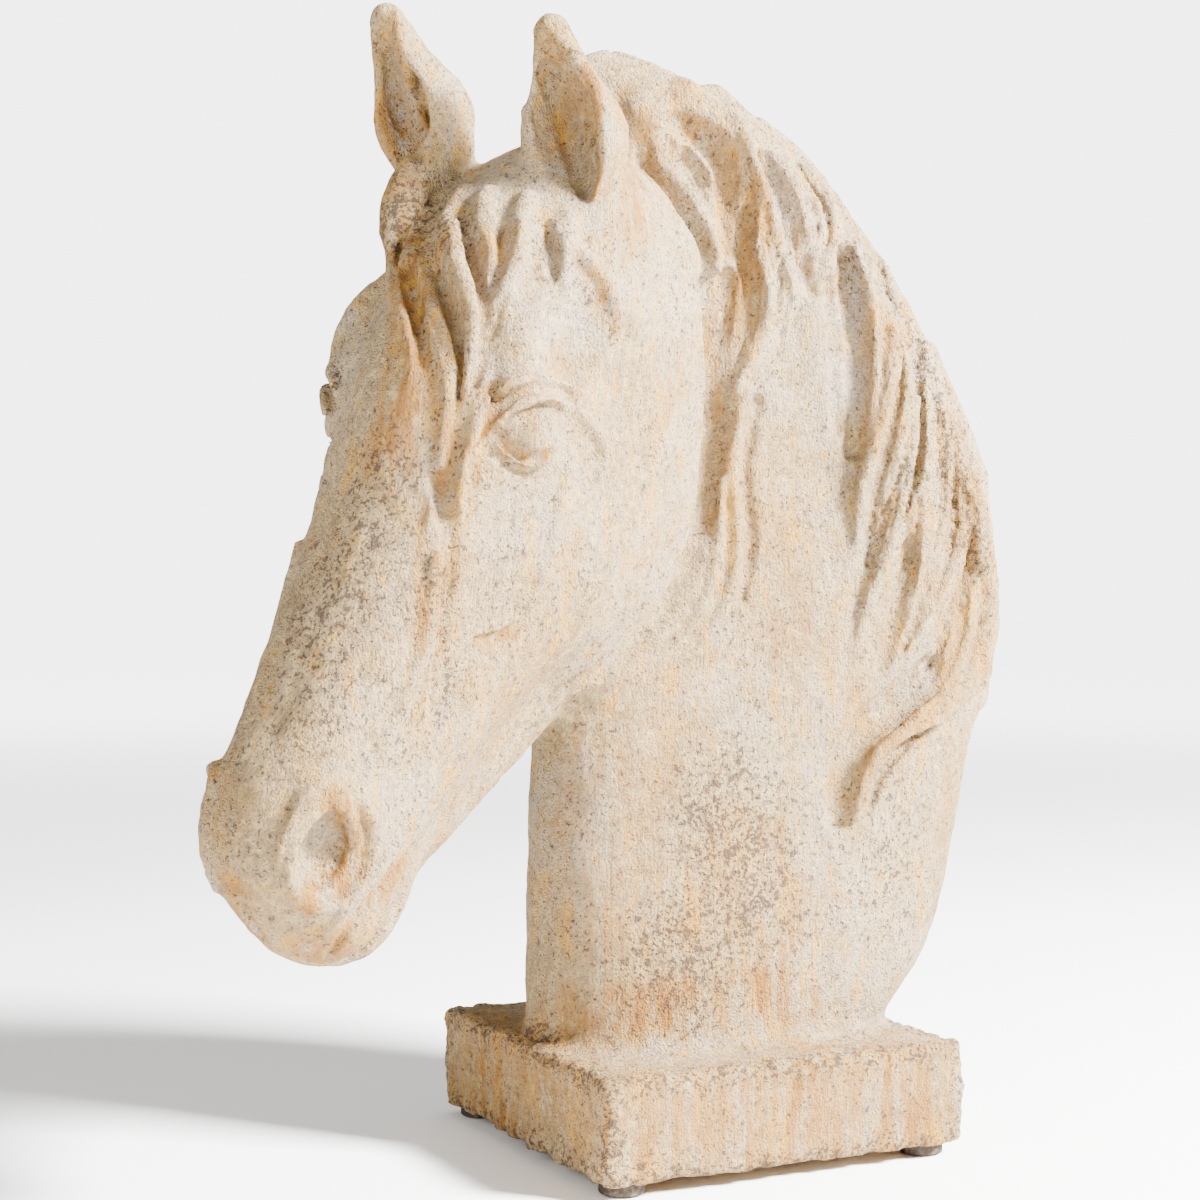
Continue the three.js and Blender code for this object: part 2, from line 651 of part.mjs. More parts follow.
// A pad: a disc with its lower edge rounded off, turned upright
const padRadius = PAD_DIAMETER / 2;
const padTop = PAD_HEIGHT - PAD_GAP;
const padOutline = new THREE.Path();
padOutline.moveTo(0, 0);
padOutline.lineTo(padRadius - PAD_ROUNDING, 0);
padOutline.absarc(padRadius - PAD_ROUNDING, PAD_ROUNDING, PAD_ROUNDING, -Math.PI / 2, 0);
padOutline.lineTo(padRadius, padTop);
padOutline.lineTo(0, padTop);
const PAD_SIDES = 24;
const PAD_ARC_POINTS = 2;
const padGeometry = new THREE.LatheGeometry(padOutline.getPoints(PAD_ARC_POINTS), PAD_SIDES);
padGeometry.rotateX(Math.PI / 2);

const rubber = new THREE.MeshStandardMaterial({ color: 0x3a322c, roughness: 0.8, metalness: 0 });
const padPlace = PLINTH_SIDE / 2 - PAD_INSET;
for (const [end, y] of [["front", -padPlace], ["back", padPlace]]) {
  for (const [side, x] of [["left", padPlace], ["right", -padPlace]]) {
    const pad = new THREE.Mesh(padGeometry, rubber);
    pad.name = `pad_${end}_${side}`;
    pad.position.set(x, y, 0);
    model.add(pad);
  }
}

// The group is moved so that the middle of its box is the origin
const box = new THREE.Box3().setFromObject(model, true);
model.position.set(-(box.min.x + box.max.x) / 2, -(box.min.y + box.max.y) / 2, -box.min.z);

export default model;
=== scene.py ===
"""A cast cement horse head on a square plinth, with soft pads, in a plain studio.

The cast is carved in millimetres in the plinth's own frame: the plinth's middle is x = y = 0,
the floor is z = 0, the neck faces -y and the horse's left is +x. Places that were read off the
photograph are pixels of its 1200 x 1200 frame, and each is carried to the surface that it
shows by a ray from the camera.
"""

import logging
import math
from dataclasses import dataclass
from enum import Enum
from typing import Callable, Sequence

import bpy
import numpy as np
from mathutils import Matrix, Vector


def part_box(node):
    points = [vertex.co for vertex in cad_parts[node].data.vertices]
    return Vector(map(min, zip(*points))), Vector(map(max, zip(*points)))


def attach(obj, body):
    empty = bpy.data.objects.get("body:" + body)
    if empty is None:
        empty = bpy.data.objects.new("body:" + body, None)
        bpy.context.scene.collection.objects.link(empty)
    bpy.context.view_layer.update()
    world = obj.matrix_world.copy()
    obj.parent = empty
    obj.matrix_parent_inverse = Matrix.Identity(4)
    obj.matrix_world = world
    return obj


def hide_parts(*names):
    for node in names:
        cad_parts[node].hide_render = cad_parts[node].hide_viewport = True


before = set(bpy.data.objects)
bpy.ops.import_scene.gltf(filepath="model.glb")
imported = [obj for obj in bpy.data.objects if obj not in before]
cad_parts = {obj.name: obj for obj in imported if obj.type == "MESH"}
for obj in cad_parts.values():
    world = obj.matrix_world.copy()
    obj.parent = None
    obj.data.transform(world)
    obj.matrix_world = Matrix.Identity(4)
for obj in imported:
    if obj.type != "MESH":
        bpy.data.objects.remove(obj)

import openvdb
from mathutils import Vector, noise

MM = 0.001
FAR = 1e6
HALVINGS = 24
Points = np.ndarray
Field = Callable[[Points], np.ndarray]
Pixels = Sequence[tuple[float, float]]

log = logging.getLogger("scene")


# Distances, below zero inside


def join(a: np.ndarray, b: np.ndarray, k: float) -> np.ndarray:
    """Joins two solids, with the valley between them rounded over a width of k."""
    h = np.maximum(k - np.abs(a - b), 0)
    return np.minimum(a, b) - h * h / (4 * k)


def cut(a: np.ndarray, b: np.ndarray, k: float) -> np.ndarray:
    """Keeps what is inside both solids, with the edge rounded over a width of k."""
    return -join(-a, -b, k)


def carved(a: np.ndarray, b: np.ndarray, k: float) -> np.ndarray:
    """Takes the second solid out of the first, with the edge rounded over a width of k."""
    return -join(-a, b, k)


def blob(points: Points, middle: Sequence[float], radii: Sequence[float]) -> np.ndarray:
    """An ellipsoid by its middle and its three radii.

    Args:
        points: where to measure.
        middle: its middle.
        radii: its three radii.

    Returns:
        The distance at each point.
    """
    u = (points - middle) / radii
    reach = np.linalg.norm(u, axis=1)
    slope = np.linalg.norm(u / radii, axis=1)
    return np.where(slope > 0, reach * (reach - 1) / np.maximum(slope, 1e-9), -min(radii))


def bar(
    points: Points,
    start: Sequence[float],
    end: Sequence[float],
    start_radius: float,
    end_radius: float,
    flat: float = 1.0,
) -> np.ndarray:
    """A round bar between two points, tapering.

    Args:
        points: where to measure.
        start: the middle of one end.
        end: the middle of the other.
        start_radius: its radius at the start.
        end_radius: its radius at the end.
        flat: its thickness along the third axis, as a share of its width.

    Returns:
        The distance at each point.
    """
    squeeze = np.array([1, 1, 1 / flat])
    p = (points - start) * squeeze
    d = (np.array(end) - start) * squeeze
    t = np.clip(p @ d / (d @ d), 0, 1)
    far = np.linalg.norm(p - t[:, None] * d, axis=1)
    return (far - start_radius - (end_radius - start_radius) * t) * min(1, flat)


def smooth_curve(points: Points, count: int) -> Points:
    """A smooth curve through some points.

    Args:
        points: the points that it passes.
        count: how many steps it has.

    Returns:
        The curve's points, one more than the steps.
    """
    ends = np.vstack([2 * points[0] - points[1], points, 2 * points[-1] - points[-2]])
    spans = len(points) - 1
    at = np.linspace(0, spans, count + 1)
    i = np.minimum(at.astype(int), spans - 1)
    t = (at - i)[:, None]
    before, low, high, after = ends[i], ends[i + 1], ends[i + 2], ends[i + 3]
    curve = 2 * low + (high - before) * t
    curve += (2 * before - 5 * low + 4 * high - after) * t**2
    curve += (3 * low - before - 3 * high + after) * t**3
    return curve / 2


class Strand:
    """A strand of hair, a lid, a lip or a groove: a tapering tube along a curve.

    Args:
        points: places along it, from its root to its tip.
        girth: its greatest half width.
        tip: its share of the girth at the tip.
        root: its share of the girth at the root.
    """

    STEPS = 10

    def __init__(self, points: Points, girth: float, tip: float = 0.25, root: float = 0.7) -> None:
        self.curve = smooth_curve(np.asarray(points, float), self.STEPS)
        t = np.linspace(0, 1, self.STEPS + 1)
        swell = np.sin(np.pi * np.clip(0.2 + 0.8 * t, 0, 1))
        fade = root + (tip - root) * t
        self.girth = girth * (fade + (1 - fade) * swell)
        self.middle = (self.curve.min(0) + self.curve.max(0)) / 2
        self.reach = np.linalg.norm(self.curve - self.middle, axis=1).max()
        self.room = 3 * girth

    def nearest(self, points: Points) -> tuple[np.ndarray, np.ndarray, np.ndarray]:
        """The nearest place on the curve.

        Args:
            points: where to look from.

        Returns:
            The distance to the tube, the place along it from 0 to 1, and the step it is on.
        """
        a = self.curve[:-1]
        d = self.curve[1:] - a
        offset = points[:, None, :] - a
        t = np.clip((offset * d).sum(2) / (d * d).sum(1), 0, 1)
        far = np.linalg.norm(offset - t[:, :, None] * d, axis=2)
        far -= self.girth[:-1] + (self.girth[1:] - self.girth[:-1]) * t
        step = far.argmin(1)
        row = np.arange(len(points))
        return far[row, step], (step + t[row, step]) / self.STEPS, step

    def __call__(self, points: Points) -> np.ndarray:
        """The distance to the tube, measured closely only near it.

        Args:
            points: where to measure.

        Returns:
            The distance at each point.
        """
        out = np.linalg.norm(points - self.middle, axis=1) - self.reach
        near = out < self.room
        if near.any():
            out[near] = self.nearest(points[near])[0]
        return out


def surface_along(form: Field, inner: Points, outer: Points) -> Points:
    """Where the surface lies between points inside it and points outside it.

    Args:
        form: the surface's field.
        inner: points inside it.
        outer: a point outside it for each.

    Returns:
        The points on the surface.
    """
    low, high = np.array(inner, float), np.array(outer, float)
    for _ in range(HALVINGS):
        middle = (low + high) / 2
        inside = (form(middle) < 0)[:, None]
        low, high = np.where(inside, middle, low), np.where(inside, high, middle)
    return low


def settled(form: Field, points: Points, rounds: int, most: float) -> Points:
    """Moves points onto a field's surface.

    Args:
        form: the field.
        points: the points.
        rounds: how many steps each point takes.
        most: the longest step.

    Returns:
        The moved points.
    """
    corners = np.array([[1, -1, -1], [-1, -1, 1], [-1, 1, -1], [1, 1, 1]])
    reach = 0.35
    for _ in range(rounds):
        slope = sum(np.outer(form(points + reach * c), c) for c in corners) / (4 * reach)
        size = np.maximum((slope**2).sum(1), 0.2)
        move = np.clip(form(points) / size, -most, most)
        points = points - slope * move[:, None]
    return points


def meshed(
    form: Field, low: Points, high: Points, cell: float, block: int = 4
) -> tuple[Points, np.ndarray]:
    """Meshes the surface of a field, looking closely only where the surface is near.

    Args:
        form: the field.
        low: the lowest corner to look at.
        high: the highest corner to look at.
        cell: the size of the mesh's cells.
        block: how many cells a coarse step has.

    Returns:
        The points, and the four-sided faces as rows of point numbers.
    """
    shape = np.ceil((high - low) / (cell * block)).astype(int)
    coarse = np.indices(shape).reshape(3, -1).T * block
    rough = form(low + (coarse + block / 2) * cell)
    values = rough.reshape(shape).astype(np.float32)
    for axis in range(3):
        values = values.repeat(block, axis)
    close = 1.3 * block * cell
    near = coarse[np.abs(rough) < close]
    inner = np.indices((block,) * 3).reshape(3, -1).T
    batch = 3000
    for some in np.array_split(near, len(near) // batch + 1):
        places = (some[:, None, :] + inner).reshape(-1, 3)
        values[tuple(places.T)] = form(low + places * cell)
    grid = openvdb.FloatGrid(FAR)
    grid.copyFromArray(values)
    points, faces = grid.convertToQuads()
    return low + points * cell, faces


@dataclass(frozen=True)
class PhotoCamera:
    """The camera that took the photograph, found from the plinth's corners.

    Args:
        image_px: the width of the photograph.
        focal_px: its focal length, in pixels.
        azimuth: how far round from the front it stands, in degrees.
        distance: how far off it stands, in mm.
        aside: how far left of the plinth's middle it stands, in mm.
        height: its height, in mm.
        sensor_mm: the width of its sensor.
        leap: the longest step on the surface for a pixel's step in the picture, in mm.
        march: how many steps a ray takes to the surface.
    """

    image_px: int = 1200
    focal_px: float = 2123
    azimuth: float = 63.8
    distance: float = 843
    aside: float = 37
    height: float = 211
    sensor_mm: float = 36
    leap: float = 1.1
    march: int = 60

    @property
    def back(self) -> np.ndarray:
        """The level direction from the object towards the camera."""
        a = math.radians(self.azimuth)
        return np.array([math.sin(a), -math.cos(a), 0])

    @property
    def right(self) -> np.ndarray:
        """The level direction to the picture's right."""
        a = math.radians(self.azimuth)
        return np.array([math.cos(a), math.sin(a), 0])

    @property
    def place(self) -> np.ndarray:
        """Where the camera stands, in the plinth's frame."""
        return self.back * self.distance - self.right * self.aside + [0, 0, self.height]

    def landing(self, form: Field, pixels: Pixels) -> Points:
        """The points of a surface that some pixels show.

        Args:
            form: the surface's field.
            pixels: the pixels.

        Returns:
            A point for each pixel.
        """
        uv = np.array(pixels, float) - self.image_px / 2
        rays = self.right * uv[:, :1] / self.focal_px - self.back
        rays = rays - np.array([0, 0, 1]) * uv[:, 1:] / self.focal_px
        rays /= np.linalg.norm(rays, axis=1, keepdims=True)
        points = self.place + rays * (self.distance / 2)
        for _ in range(self.march):
            points = points + rays * np.clip(form(points), -6, 30)[:, None] * 0.8
        return settled(form, points, rounds=4, most=5)

    def traced(self, form: Field, paths: Sequence[Pixels]) -> list[Points]:
        """Carries paths to a surface.

        Args:
            form: the surface's field.
            paths: the pixels along each path.

        Returns:
            The points of each path, without those past a leap to another part of the surface.
        """
        points = self.landing(form, [pixel for path in paths for pixel in path])
        nearly_on = 0.5
        on = np.abs(form(points)) < nearly_on
        ends = np.cumsum([len(path) for path in paths])[:-1]
        traced = []
        for path, line, good in zip(paths, np.split(points, ends), np.split(on, ends)):
            steps = np.linalg.norm(np.diff(line, axis=0), axis=1)
            pixels = np.linalg.norm(np.diff(np.array(path), axis=0), axis=1)
            runs = np.split(np.arange(len(path)), np.flatnonzero(steps > self.leap * pixels) + 1)
            longest = max(runs, key=len)
            traced.append(line[longest[good[longest]]])
        return traced

    def build(self, origin: Vector) -> None:
        """Makes the scene's camera.

        Args:
            origin: the plinth's middle in the row's frame, in metres.
        """
        data = bpy.data.cameras.new("photo_camera")
        data.sensor_width = self.sensor_mm
        data.lens = self.focal_px / self.image_px * self.sensor_mm
        data.clip_end = 20
        camera = bpy.data.objects.new("photo_camera", data)
        camera.location = Vector(self.place * MM) + origin
        camera.rotation_euler = (math.radians(90), 0, math.radians(self.azimuth))
        bpy.context.scene.collection.objects.link(camera)
        bpy.context.scene.camera = camera


@dataclass(frozen=True)
class Pose:
    """Where a head or an ear stands: its origin, its axes as columns, and its unit."""

    origin: np.ndarray
    axes: np.ndarray
    unit: float

    def inward(self, points: Points) -> Points:
        """Points of the plinth's frame, in shares of the unit."""
        return (points - self.origin) @ self.axes / self.unit

    def outward(self, shares: Points) -> Points:
        """Shares of the unit, as points of the plinth's frame."""
        return np.asarray(shares) @ self.axes.T * self.unit + self.origin


def turn(axis: int, degrees: float) -> np.ndarray:
    """A turn about the x, y or z axis.

    Args:
        axis: 0, 1 or 2.
        degrees: how far.

    Returns:
        The matrix.
    """
    c, s = math.cos(math.radians(degrees)), math.sin(math.radians(degrees))
    i, j = (axis + 1) % 3, (axis + 2) % 3
    m = np.eye(3)
    m[i, i], m[i, j], m[j, i], m[j, j] = c, -s, s, c
    return m


FORWARD, UP, LEFT = np.array([0, -1, 0]), np.array([0, 0, 1]), np.array([1, 0, 0])


class Relief(Enum):
    """What a stroke does to the surface."""

    RAISED = 1
    SUNK = -1


@dataclass(frozen=True)
class Stroke:
    """A line carved on the surface, by the pixels that show it.

    Args:
        name: what it is.
        path: pixels along it, from its root to its tip.
        girth: its half width, in mm.
        relief: raised or sunk.
        both: the other side of the face has it too.
    """

    name: str
    path: Pixels
    girth: float
    relief: Relief = Relief.RAISED
    both: bool = False


R, S = Relief.RAISED, Relief.SUNK
FACE_STROKES = (
    Stroke("forelock far lock", ((391, 240), (393, 285), (404, 318), (413, 352), (408, 385)), 3.4),
    Stroke("forelock deep part", ((404, 262), (413, 300), (420, 336), (422, 362)), 2.6, S),
    Stroke("forelock middle lock", ((420, 262), (434, 305), (450, 341), (455, 380), (449, 430)), 3.0),
    Stroke("forelock middle part", ((436, 270), (452, 320), (462, 360), (460, 400)), 1.9, S),
    Stroke(
        "forelock long lock",
        ((428, 320), (440, 352), (448, 385), (444, 437), (438, 475), (428, 530)),
        2.6,
    ),
    Stroke(
        "forelock bright lock",
        ((452, 225), (457, 263), (470, 300), (474, 335), (468, 393), (457, 430)),
        4.0,
    ),
    Stroke("forelock bright edge", ((466, 245), (482, 300), (484, 345), (474, 385)), 2.4, S),
    Stroke("short lock", ((521, 222), (519, 259), (506, 283), (497, 302), (492, 325)), 3.0),
    Stroke("short lock part", ((499, 228), (500, 257), (494, 281), (486, 302), (480, 322)), 1.6, S),
    Stroke("near lock", ((553, 222), (566, 250), (562, 280)), 2.4),
    Stroke("near lock part", ((549, 232), (555, 256), (553, 280)), 1.6, S),
    Stroke("temple edge", ((568, 240), (598, 270), (612, 298), (616, 330)), 3.6),
    Stroke(
        "upper lid",
        ((484, 446), (498, 426), (514, 408), (535, 398), (556, 398), (576, 407)),
        3.0, R, True,
    ),
    Stroke("lid fold", ((494, 416), (506, 400), (522, 390), (545, 387), (574, 397)), 2.3, S, True),
    Stroke("brow", ((488, 402), (504, 388), (521, 379), (547, 377), (584, 392)), 2.6, R, True),
    Stroke("lower lid", ((500, 444), (512, 458), (530, 467), (549, 460), (563, 438)), 2.2, R, True),
    Stroke(
        "above the eyeball",
        ((500, 436), (514, 418), (534, 407), (552, 406), (562, 414)),
        1.9, S, True,
    ),
    Stroke(
        "below the eyeball",
        ((500, 436), (508, 447), (522, 455), (537, 458), (551, 446), (561, 426)),
        1.9, S, True,
    ),
    Stroke("under the lower lid", ((492, 452), (510, 467), (530, 474), (554, 466)), 1.9, S, True),
    Stroke("tear fold", ((497, 432), (484, 446), (475, 458), (474, 482)), 2.2, S, True),
    Stroke("fold before the eye", ((494, 386), (496, 402), (490, 424), (478, 440)), 1.6, S, True),
    Stroke("eye bone", ((578, 412), (600, 440), (598, 480), (560, 520)), 3.0, R, True),
    Stroke(
        "cheekbone edge",
        ((572, 455), (560, 500), (545, 560), (530, 600), (500, 625), (470, 636)),
        3.0, R, True,
    ),
    Stroke("hollow before the cheek", ((440, 480), (452, 540), (448, 600), (440, 650)), 3.4, S, True),
    Stroke("under the cheekbone", ((476, 640), (505, 636), (522, 622)), 1.8, S, True),
    Stroke("nose edge", ((436, 560), (425, 640), (395, 720), (365, 780)), 3.4, R, True),
    Stroke(
        "nostril rim",
        ((300, 800), (322, 788), (342, 802), (355, 845), (332, 888), (298, 908)),
        3.2, R, True,
    ),
    Stroke("nostril rim, nose side", ((302, 802), (286, 835), (277, 862), (282, 890)), 2.2, R, True),
    Stroke("mouth", ((412, 850), (388, 880), (362, 912), (345, 935), (330, 955)), 2.6, S, True),
    Stroke("upper lip edge", ((396, 842), (370, 878), (345, 908), (318, 940)), 3.2, R, True),
    Stroke("lip fold", ((236, 884), (243, 910), (262, 937)), 2.6, S),
    Stroke("lip fold, far", ((217, 880), (228, 915), (240, 938)), 1.6, R),
)
MANE_STROKES = (
    Stroke(
        "recess behind the ear",
        ((680, 122), (704, 138), (722, 160), (728, 200), (731, 250)),
        5.5, S,
    ),
    Stroke("wall of the recess", ((668, 138), (692, 165), (710, 200), (722, 240)), 4.0, S),
    Stroke("long ridge", ((730, 112), (746, 138), (757, 165), (770, 206), (780, 251), (798, 300)), 3.0),
    Stroke(
        "branch of the long ridge",
        ((762, 190), (757, 242), (768, 290), (766, 333), (744, 370), (730, 410)),
        2.8,
    ),
    Stroke(
        "part under the branch",
        ((748, 215), (744, 250), (754, 290), (748, 330), (728, 372)),
        3.4, S,
    ),
    Stroke("long valley", ((728, 280), (724, 330), (716, 390), (714, 450), (716, 500)), 5.0, S),
    Stroke("pale recess", ((766, 160), (786, 205), (800, 250), (812, 290)), 5.0, S),
    Stroke("curl", ((786, 162), (808, 195), (823, 232), (812, 264)), 2.5),
    Stroke("part of the curl", ((800, 168), (820, 200), (830, 230), (818, 266)), 1.8, S),
    Stroke("ridge at the pale recess", ((781, 246), (790, 280), (790, 310), (784, 345)), 2.0),
    Stroke("grey recess", ((846, 258), (856, 300), (860, 345), (858, 400), (852, 450)), 6.0, S),
    Stroke("wall of the grey recess", ((832, 285), (838, 330), (840, 380), (838, 430)), 4.0, S),
    Stroke(
        "edge of the grey recess",
        ((856, 250), (872, 300), (876, 350), (873, 400), (868, 440)),
        2.4,
    ),
    Stroke(
        "crease behind the cheek",
        ((643, 160), (670, 195), (700, 236), (707, 275), (706, 335)),
        2.6, S,
    ),
    Stroke("fold behind the cheek", ((655, 158), (684, 190), (712, 232), (718, 280), (714, 330)), 2.4),
    Stroke(
        "valley behind the cheek",
        ((711, 290), (716, 370), (713, 450), (701, 530), (672, 600)),
        7.0, S,
    ),
    Stroke("valley under the jaw", ((694, 560), (658, 626), (606, 672), (556, 698)), 6.0, S),
    Stroke("fold on the neck", ((745, 390), (731, 470), (738, 540), (727, 600), (690, 660)), 3.0),
    Stroke("lower crease", ((758, 400), (746, 470), (752, 540), (742, 600)), 2.6, S),
    Stroke("fold by the jaw", ((722, 480), (716, 560), (690, 625), (640, 680)), 2.4),
    Stroke("middle lock", ((893, 330), (889, 380), (876, 440), (862, 490), (857, 545)), 3.8),
    Stroke("middle lock part", ((903, 340), (899, 400), (886, 455), (874, 510), (868, 560)), 2.6, S),
    Stroke("hollow lock", ((914, 400), (908, 470), (890, 545), (868, 600), (856, 650)), 3.6),
    Stroke("hollow", ((912, 545), (904, 590), (893, 635), (882, 665)), 4.2, S),
    Stroke("inner ridge", ((925, 380), (926, 450), (922, 510), (920, 570), (908, 620)), 2.4),
    Stroke("inner part", ((919, 340), (918, 400), (917, 460), (905, 520)), 2.2, S),
    Stroke("long part", ((938, 400), (944, 470), (938, 540), (922, 600), (906, 650)), 2.8, S),
    Stroke("outer ridge", ((950, 420), (961, 490), (957, 555), (933, 610), (905, 655)), 2.8),
    Stroke("outer part", ((970, 450), (976, 520), (966, 580), (944, 630), (934, 672)), 3.2, S),
    Stroke(
        "tail lock",
        ((968, 480), (981, 560), (984, 620), (972, 668), (940, 706), (896, 730), (868, 766), (856, 818)),
        7.5,
    ),
    Stroke("tail edge", ((962, 590), (960, 640), (938, 684), (900, 712), (868, 738)), 2.6, S),
    Stroke(
        "tail part",
        ((978, 540), (983, 620), (966, 680), (925, 716), (884, 746), (862, 800)),
        1.8, S,
    ),
    Stroke(
        "tail outer part",
        ((990, 600), (986, 660), (960, 702), (912, 738), (880, 776), (868, 820)),
        2.4, S,
    ),
    Stroke("under the tail", ((934, 668), (898, 702), (860, 736), (842, 780), (838, 820)), 6.5, S),
    Stroke("crest tuft", ((866, 232), (882, 265), (896, 305), (900, 345), (896, 385)), 2.8),
    Stroke("near ear hollow", ((549, 72), (562, 108), (573, 146), (583, 190)), 4.2, S),
    Stroke("near ear rim", ((546, 26), (572, 54), (596, 90), (604, 130), (603, 168), (594, 202)), 3.0),
    Stroke("near ear front rim", ((532, 30), (526, 70), (526, 110), (534, 150)), 2.4),
    Stroke("far ear hollow", ((391, 55), (394, 90), (402, 122), (416, 154)), 3.0, S),
    Stroke("far ear rim", ((396, 14), (404, 60), (418, 105), (436, 150)), 2.8),
)


@dataclass(frozen=True)
class CastForm:
    """The form of the cast, with the same driving sizes as its solid, in mm."""

    plinth_side: float = 152
    plinth_height: float = 38
    plinth_rounding: float = 4
    pad_height: float = 4.5
    neck_height: float = 378
    head_length: float = 300
    ear_length: float = 70
    head_turn: float = 22
    head_nod: float = 60.5
    head_tilt: float = -11

    # Height, front, back, half width, lean to the left, taper to the front, and squareness
    NECK_ROWS = np.array(
        [
            [0.0, -0.165, 0.19, 0.125, 0, 0.05, 3],
            [0.08, -0.168, 0.262, 0.122, 0, 0.08, 2.8],
            [0.2, -0.168, 0.306, 0.118, 0, 0.12, 2.5],
            [0.33, -0.16, 0.336, 0.116, 0, 0.2, 2.3],
            [0.46, -0.15, 0.36, 0.112, 0, 0.3, 2.2],
            [0.6, -0.16, 0.338, 0.105, 0, 0.4, 2.2],
            [0.7, -0.17, 0.278, 0.098, 0.008, 0.4, 2.2],
            [0.8, -0.18, 0.192, 0.086, 0.02, 0.3, 2.2],
            [0.9, -0.19, 0.088, 0.072, 0.035, 0.2, 2.2],
            [1.0, -0.19, -0.05, 0.05, 0.045, 0.1, 2.2],
        ]
    )

    @property
    def plinth_top(self) -> float:
        """The height of the plinth's top."""
        return self.pad_height + self.plinth_height

    def on_neck(self, shares: Sequence[Sequence[float]]) -> Points:
        """Points of the neck: left, back and up, in shares of its height."""
        return np.asarray(shares, float) * self.neck_height + [0, 0, self.plinth_top]

    def sections(self, h: np.ndarray) -> np.ndarray:
        """The neck's section at each height, smoothed between the rows.

        Args:
            h: heights over the plinth, in shares of the neck's height.

        Returns:
            A row for each height, with the columns of NECK_ROWS after the first.
        """
        rows = self.NECK_ROWS
        i = np.clip(np.searchsorted(rows[:, 0], h) - 1, 0, len(rows) - 2)
        low, high = rows[i], rows[i + 1]
        before = rows[np.maximum(i - 1, 0)]
        after = rows[np.minimum(i + 2, len(rows) - 1)]
        span = high[:, 0] - low[:, 0]
        t = np.clip((h - low[:, 0]) / span, 0, 1)[:, None]
        slope_low = (high - before) / (high[:, :1] - before[:, :1]) * span[:, None]
        slope_high = (after - low) / (after[:, :1] - low[:, :1]) * span[:, None]
        value = (2 * t**3 - 3 * t**2 + 1) * low + (t**3 - 2 * t**2 + t) * slope_low
        return (value + (3 * t**2 - 2 * t**3) * high + (t**3 - t**2) * slope_high)[:, 1:]

    def neck_section(self, p: Points) -> np.ndarray:
        """The neck as a stack of level sections.

        Args:
            p: where to measure.

        Returns:
            The distance at each point.
        """
        rows = self.sections((p[:, 2] - self.plinth_top) / self.neck_height)
        front, back, half, lean, taper, square = rows.T
        reach = (back - front) / 2 * self.neck_height
        v = (p[:, 1] - (front + back) / 2 * self.neck_height) / reach
        width = half * self.neck_height * (1 + taper * np.clip(v, -1, 0.3))
        u = np.abs(p[:, 0] - lean * self.neck_height) / width + 1e-9
        w = np.abs(v) + 1e-9
        g = (u**square + w**square) ** (1 / square)
        slope = np.hypot((u / g) ** (square - 1) / width, (w / g) ** (square - 1) / reach)
        return (g - 1) / slope

    def bare_neck(self, p: Points) -> np.ndarray:
        """The neck with its throat and the valleys beside the jaw, without the mane.

        Args:
            p: where to measure.

        Returns:
            The distance at each point.
        """
        n = self.neck_height
        throat = self.on_neck([[0, -0.116, 0], [0, -0.11, 0.4]])
        f = join(self.neck_section(p), bar(p, *throat, 0.06 * n, 0.063 * n), 16)
        valley = [[0.158, 0.026, 0.81], [0.174, 0.084, 0.578], [0.168, -0.058, 0.34]]
        high, angle, low = self.on_neck(valley)
        f = carved(f, bar(p, high, angle, 0.037 * n, 0.063 * n), 24)
        f = carved(f, bar(p, angle, low, 0.063 * n, 0.053 * n), 24)
        return carved(f, self.plinth_top + n - p[:, 2], 40)

    def plinth(self, p: Points) -> np.ndarray:
        """The plinth, a box with rounded edges.

        Args:
            p: where to measure.

        Returns:
            The distance at each point.
        """
        r = self.plinth_rounding
        middle = [0, 0, self.pad_height + self.plinth_height / 2]
        half = np.array([self.plinth_side, self.plinth_side, self.plinth_height]) / 2
        q = np.abs(p - middle) - half + r
        outside = np.linalg.norm(np.maximum(q, 0), axis=1)
        return outside + np.minimum(q.max(1), 0) - r

    def skull(self, q: Points) -> np.ndarray:
        """The head without its hair.

        Args:
            q: where to measure, in shares along the face, out of it, and to its left.

        Returns:
            The distance at each point, in shares.
        """
        q = np.column_stack([q[:, 0], q[:, 1], np.abs(q[:, 2])])
        # Forehead, bridge of the nose, its sides and its edges
        f = blob(q, (0.15, -0.12, 0), (0.2, 0.13, 0.142))
        f = join(f, blob(q, (0.31, -0.1, 0), (0.2, 0.13, 0.137)), 0.08)
        f = join(f, bar(q, (0.4, -0.115, 0), (0.88, -0.11, 0), 0.116, 0.084, 0.74), 0.08)
        f = join(f, bar(q, (0.45, -0.25, 0.045), (0.84, -0.17, 0.03), 0.1, 0.062), 0.05)
        f = join(f, bar(q, (0.42, -0.08, 0.075), (0.84, -0.075, 0.04), 0.05, 0.042), 0.05)
        # Muzzle, cheek, throat, lower jaw, lips and chin
        f = join(f, blob(q, (0.895, -0.145, 0), (0.085, 0.11, 0.076)), 0.06)
        f = join(f, blob(q, (0.31, -0.345, 0.084), (0.235, 0.255, 0.085)), 0.07)
        f = join(f, blob(q, (0.1, -0.28, 0.077), (0.17, 0.22, 0.08)), 0.06)
        f = join(f, bar(q, (0.45, -0.4, 0), (0.88, -0.24, 0), 0.115, 0.062, 0.72), 0.06)
        f = join(f, blob(q, (0.945, -0.19, 0), (0.056, 0.08, 0.06)), 0.05)
        f = join(f, blob(q, (0.91, -0.252, 0), (0.054, 0.042, 0.05)), 0.04)
